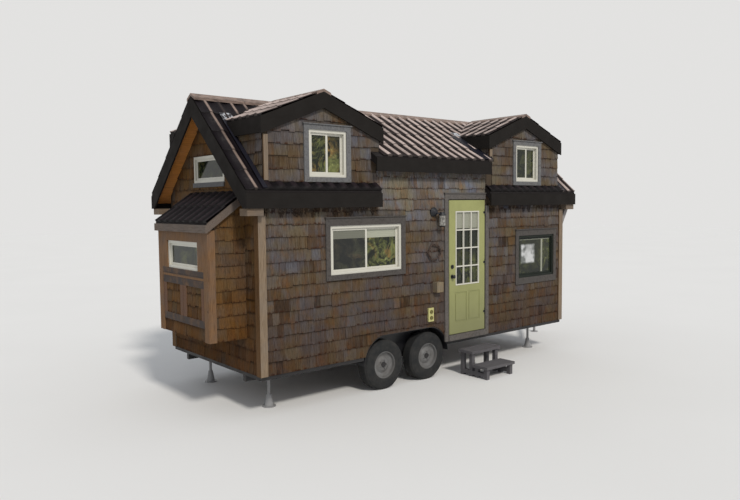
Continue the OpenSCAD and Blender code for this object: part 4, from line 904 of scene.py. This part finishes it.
def ribbed(name, mat, u_range, v_range_at, surf, slope_len):
    """A corrugated sheet. u runs across the ribs, v from the eave (0) to the ridge (1). v_range_at(u) gives
    the start and end of v there, or None. surf(u, v) gives the point on the roof and its normal. The sheet is
    laid in short lengths, each lapped over the one below, and its lower end is closed. The point attribute
    lap marks painted shade just below each lap and along the closed lower end."""
    verts, faces, kinds, lap_shade_at, tones = [], [], [], [], []
    u0, u1 = u_range
    n = max(2, int((u1 - u0) / RIB * RIB_STEPS))
    laps = max(1, int(round(slope_len / LAP)))
    lip = 0.018 / slope_len
    rib_tone = {}
    columns = []
    for i in range(n + 1):
        u = u0 + (u1 - u0) * i / n
        span = v_range_at(u)
        if span is None or span[1] - span[0] < 0.004:
            columns.append(None)
            continue
        a, b = span
        t = u / RIB
        h = wave(t % 1.0)
        tone = rib_tone.setdefault(math.floor(t), rng.random())
        cuts = sorted({a, b} | {k / laps for k in range(1, laps) if a + 0.5 * lip < k / laps < b - 0.5 * lip})
        col = []
        # The closed lower end and the foot of each lapped length are marked dark, for painted shade under the
        # lap.
        p, nrm = surf(u, cuts[0])
        col.append((p + nrm * 0.0005, h, 1.0, tone))
        for j in range(len(cuts) - 1):
            v0, v1 = cuts[j], cuts[j + 1]
            edge = min(v0 + lip, (v0 + v1) / 2)
            for v, up, dark in ((v0, 0.011, 1.0), (edge, 0.0105, 0.0), (v1, 0.0, 0.0)):
                p, nrm = surf(u, v)
                col.append((p + nrm * (SHEET_GAP + RIB_H * h + up), h, dark, tone))
        columns.append(col)
    index = {}
    for i, col in enumerate(columns):
        if col is None:
            continue
        index[i] = len(verts)
        for p, h, dark, tone in col:
            verts.append(p)
            kinds.append(h)
            lap_shade_at.append(dark)
            tones.append(tone)
    for i in range(n):
        a, b = columns[i], columns[i + 1]
        if a is None or b is None:
            continue
        m = min(len(a), len(b))
        off_a, off_b = len(a) - m, len(b) - m
        for j in range(m - 1):
            ia, ib = index[i] + off_a + j, index[i + 1] + off_b + j
            faces.append((ia, ib, ib + 1, ia + 1))
    points = {"kind": kinds, "lap": lap_shade_at, "tone": tones}
    return mesh_object(name, verts, faces, [mat], points=points, smooth=True)


def long_surf(slope, side):
    """Surface of a roof that falls to one long side. u is X, v 0 at the eave and 1 at the ridge."""
    nrm = Vector((0.0, -slope if side < 0 else slope, 1.0)).normalized()
    def surf(u, v):
        d = (MID + REACH) * (1.0 - v)
        y = MID - d if side < 0 else MID + d
        return house(u, y, RIDGE - slope * d), nrm
    return surf


def v_of_d(d):
    return 1.0 - d / (MID + REACH)


EAVE_V = 0.031 / (MID + REACH)
main_len = math.hypot(MID + REACH, RIDGE - LOW_EAVE)
mid_len = math.hypot(MID + REACH, RIDGE - MID_EAVE)
left_x, right_x = LEFT_CHEEK[0] - 0.006, RIGHT_CHEEK[1] + 0.006


def whole(x):
    return EAVE_V, 1.0


def skirt(x):
    """The strip of steep roof in front of a dormer."""
    return EAVE_V, v_of_d(MID + 0.002)


def above_dormer(i, slope):
    """What shows of a long roof of this slope above the roof of dormer i, as a function of x."""
    return lambda x: (v_of_d((RIDGE - dormer_h(x - DORMER_X[i])) / slope), 1.0)


def middle(x):
    """What shows of the middle roof at x."""
    if x < RIGHT_CHEEK[0]:
        return above_dormer(0, MID_S)(x)
    if x > LEFT_CHEEK[1]:
        return above_dormer(1, MID_S)(x)
    return whole(x)


SHEETS = (
    ("main_sheet_left_", "roof_shaded_lit_ribs", -RAKE + 0.002, left_x, whole, MAIN_S, main_len),
    ("skirt_sheet_left_", "roof_shaded", left_x, LOW_X0, skirt, MAIN_S, 0.1),
    ("main_top_left_", "roof_shaded_lit_ribs", left_x, DORMER_X[0], above_dormer(0, MAIN_S), MAIN_S, 0.4),
    ("main_sheet_right_", "roof", right_x, L + RAKE - 0.002, whole, MAIN_S, main_len),
    ("skirt_sheet_right_", "roof_shaded", LOW_X1, right_x, skirt, MAIN_S, 0.1),
    ("main_top_right_", "roof", DORMER_X[1], right_x, above_dormer(1, MAIN_S), MAIN_S, 0.4),
    ("middle_sheet_", "roof", DORMER_X[0], DORMER_X[1], middle, MID_S, mid_len),
)
for side, tag in ((-1, "front"), (1, "back")):
    for name, mat, x0, x1, shown, slope, length in SHEETS:
        ribbed(name + tag, M[mat], (x0, x1), shown, long_surf(slope, side), length)

# Dormer roofs: ribs run from the dormer ridge down to its sides, so u is Y and v runs up from the edge
for i, dx0 in enumerate(DORMER_X):
    for sx, reach in ((-1.0, DL + DREACH), (1.0, DR + DREACH)):
        nrm = Vector((sx * DORMER_S, 0.0, 1.0)).normalized()

        def surf(u, v, sx=sx, reach=reach, nrm=nrm, dx0=dx0):
            d = reach * (1.0 - v)
            return house(dx0 + sx * d, u, dormer_h(d)), nrm

        below = main_h if (i == 0) == (sx < 0) else mid_h

        def span(y, reach=reach, below=below):
            """Part of the slope that stands above the long roof at this y."""
            d = min(reach - 0.022, (RIDGE - below(y)) / DORMER_S)
            return None if d < 0.01 else (1.0 - d / reach, 1.0)

        for side, lo_y, hi_y in (("front", -DREACH, MID), ("back", MID, W + DREACH)):
            name = "dormer_sheet_%d_%s_%s" % (i, "left" if sx < 0 else "right", side)
            ribbed(name, M["roof"], (lo_y, hi_y), span, surf, reach * 1.07)

# Bump-out sheet: ribs run from the wall down to its outer edge
bn = Vector((-BUMP_S, 0.0, 1.0)).normalized()


def bump_surf(u, v):
    d = (BUMP_D + BUMP_REACH) * (1.0 - v)
    return house(-d, u, BUMP_TOP - BUMP_S * d), bn


ribbed("bump_out_sheet", M["roof_shaded"], BUMP_YS, lambda y: (0.050, 0.985), bump_surf, 0.6)

# Flashings: flat strips beside the cheeks and along the valleys, laid over the ribs. The wide dark strip
# beside the left cheek of the right dormer is painted shadow, the shadow that dormer casts on the middle
# roof; the pale strips carry painted glare.
flashing_and_shadow_strips, pale = Soup(), Soup()


def strip(soup, x0, x1, d0, d1, slope, side, lift=0.034):
    """A flat strip on a long roof from distance d0 to d1 off the ridge."""
    nrm = Vector((0.0, side * slope, 1.0)).normalized()
    outline = ((x0, d0), (x1, d0), (x1, d1), (x0, d1))
    corners = [house(x, MID + side * d, RIDGE - slope * d) for x, d in outline]
    soup.prism([c + nrm * (lift - 0.003) for c in corners], [c + nrm * lift for c in corners], 0.5)


for side in (-1, 1):
    reach_main = (RIDGE - dormer_h(DL + DREACH)) / MAIN_S
    reach_mid = (RIDGE - dormer_h(DL + DREACH)) / MID_S
    left, inner, right = LEFT_CHEEK[0], LEFT_CHEEK[1], RIGHT_CHEEK[1]
    strip(flashing_and_shadow_strips, left - 0.075, left - 0.013, MID + 0.10, reach_main - 0.02, MAIN_S, side)
    strip(flashing_and_shadow_strips, right + 0.013, right + 0.075, MID + 0.10, reach_main - 0.02, MAIN_S, side)
    # Painted shadow: a wide dark strip for the shadow the right dormer casts on the middle roof.
    strip(flashing_and_shadow_strips, inner - 0.250, inner - 0.013, MID + 0.10, reach_mid - 0.02, MID_S, side)
    # Pale strips at the foot of each dormer roof carry painted glare.
    strip(pale, left - 0.070, left + 0.10, reach_main - 0.02, reach_main - 0.13, MAIN_S, side, 0.036)
    strip(pale, inner - 0.12, inner + 0.06, reach_mid - 0.02, reach_mid - 0.13, MID_S, side, 0.036)
flashing_and_shadow_strips.build("cheek_flashings_and_painted_shadow", [M["flashing_and_shadow"]])
pale.build("valley_flashings", [M["glare"]])

# Wreath and soil

def tube(points, radius, sides=7, closed=True):
    """Vertices and faces of a tube of one radius along a row of points, closed into a ring or open."""
    verts, faces = [], []
    m = len(points)
    for i, p in enumerate(points):
        ahead = points[(i + 1) % m] if closed or i + 1 < m else p
        behind = points[i - 1] if closed or i else p
        t = (ahead - behind).normalized()
        a = t.cross(Vector((0.0, 1.0, 0.0)) if abs(t.y) < 0.9 else Vector((1.0, 0.0, 0.0))).normalized()
        b = t.cross(a)
        for k in range(sides):
            q = 2 * math.pi * k / sides
            verts.append(p + (a * math.cos(q) + b * math.sin(q)) * radius)
    for i in range(m if closed else m - 1):
        for k in range(sides):
            j = (i + 1) % m
            k1 = (k + 1) % sides
            faces.append((i * sides + k, i * sides + k1, j * sides + k1, j * sides + k))
    return verts, faces


# A hexagon of twisted twigs, wider than it is high, stands for the wreath
WREATH_X, WREATH_Z, WREATH_R, WREATH_WIDE = 2.918, 1.368, 0.112, 1.18
verts, faces = [], []
wr = random.Random(7)


def add_tube(*args):
    v, fcs = tube(*args)
    faces.extend([tuple(len(verts) + i for i in fc) for fc in fcs])
    verts.extend(v)


for strand in range(6):
    ring = []
    off, turns = wr.uniform(0, 6.28), wr.choice((3, 4, 5))
    for k in range(72):
        a = 2 * math.pi * k / 72
        seg = (a + math.pi / 6) % (math.pi / 3) - math.pi / 6
        r = WREATH_R / math.cos(seg) * 0.90 + 0.009 * math.cos(turns * a + off) + wr.uniform(-0.0015, 0.0015)
        y = -0.040 + 0.009 * math.sin(turns * a + off)
        ring.append(house(WREATH_X + WREATH_WIDE * r * math.sin(a), y, WREATH_Z + r * math.cos(a)))
    add_tube(ring, wr.uniform(0.0035, 0.0055))
for stub in range(14):
    a = wr.uniform(0, 6.28)
    p = house(WREATH_X + 0.132 * math.sin(a), -0.042, WREATH_Z + WREATH_R * math.cos(a))
    q = p + Vector((wr.uniform(-0.035, 0.035), wr.uniform(-0.012, 0.0), wr.uniform(-0.02, 0.035)))
    add_tube([p, (p + q) / 2, q], 0.0022, 5, False)
add_tube([house(WREATH_X, y, WREATH_Z + WREATH_R) for y in (-0.050, -0.030, -0.012, 0.0)], 0.005, 8, False)
wreath = mesh_object("wreath_twigs", verts, faces, [M["twig"]], smooth=True)
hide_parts("wreath")

soil = Soup()
soil.box(2.925, 3.025, -0.082, -0.038, 0.880, 0.905)
soil.build("planter_soil", [M["soil"]])

# Stage, light and camera

FLOOR_HALF = 60.0
fl = Nodes("floor_plain")
floor_corners = [(FLOOR_HALF * x, FLOOR_HALF * y, 0.0) for x, y in ((-1, -1), (1, -1), (1, 1), (-1, 1))]
me = bpy.data.meshes.new("floor")
me.from_pydata(floor_corners, [], [(0, 1, 2, 3)])
ob = add_object("floor", me)
pale_grey = fl.mix(fl.noise(0.4, 2.0), (0.74, 0.74, 0.73), (0.77, 0.77, 0.76))
me.materials.append(fl.done(pale_grey, 0.9, spec=0.05))

world = bpy.data.worlds.new("studio")
bpy.context.scene.world = world
world.use_nodes = True
wt = world.node_tree
soft = wt.nodes["Background"]
soft.inputs["Color"].default_value = (0.90, 0.93, 0.98, 1.0)
soft.inputs["Strength"].default_value = 0.62
seen = wt.nodes.new("ShaderNodeBackground")
seen.inputs["Color"].default_value = (0.765, 0.760, 0.750, 1.0)
seen.inputs["Strength"].default_value = 1.0
path = wt.nodes.new("ShaderNodeLightPath")
pick = wt.nodes.new("ShaderNodeMixShader")
# The camera, reflections and what is seen through glass all get the pale background
shown = path.outputs["Is Camera Ray"]
for ray in ("Is Glossy Ray", "Is Transmission Ray"):
    either = wt.nodes.new("ShaderNodeMath")
    either.operation = "MAXIMUM"
    wt.links.new(shown, either.inputs[0])
    wt.links.new(path.outputs[ray], either.inputs[1])
    shown = either.outputs[0]
wt.links.new(shown, pick.inputs[0])
wt.links.new(soft.outputs[0], pick.inputs[1])
wt.links.new(seen.outputs[0], pick.inputs[2])
wt.links.new(pick.outputs[0], wt.nodes["World Output"].inputs["Surface"])

SUN_FROM, SUN_AT = Vector((-2.0, -9.0, 10.0)), Vector((0.0, 0.0, 1.5))
sun = add_object("sun", bpy.data.lights.new("sun", "SUN"))
sun.data.energy, sun.data.color, sun.data.angle = 2.1, (1.0, 0.95, 0.88), 0.15
sun.location = SUN_FROM
sun.rotation_euler = (SUN_AT - SUN_FROM).to_track_quat("-Z", "Y").to_euler()

cam_data = bpy.data.cameras.new("camera")
cam = add_object("camera", cam_data)
bpy.context.scene.camera = cam
# The photograph's camera: its place in the house frame, its angles, and its focal length and width in pixels
CAM_AT = (-4.136, -7.039, 2.084)
YAW, PITCH, ROLL = math.radians(39.75), math.radians(3.91), math.radians(-0.537)
FOCAL, PHOTO_W, SENSOR_W = 676.4, 740.0, 36.0
f = Vector((math.sin(YAW) * math.cos(PITCH), math.cos(YAW) * math.cos(PITCH), -math.sin(PITCH)))
r = Vector((math.cos(YAW), -math.sin(YAW), 0.0))
u = r.cross(f)
r2 = r * math.cos(ROLL) + u * math.sin(ROLL)
u2 = u * math.cos(ROLL) - r * math.sin(ROLL)
rot = Matrix((r2, u2, -f)).transposed()
cam.matrix_world = Matrix.Translation(house(*CAM_AT)) @ rot.to_4x4()
cam_data.sensor_fit = "HORIZONTAL"
cam_data.sensor_width = SENSOR_W
cam_data.lens = FOCAL / PHOTO_W * SENSOR_W
cam_data.clip_end = 200.0
bpy.context.scene.view_settings.view_transform = "Standard"
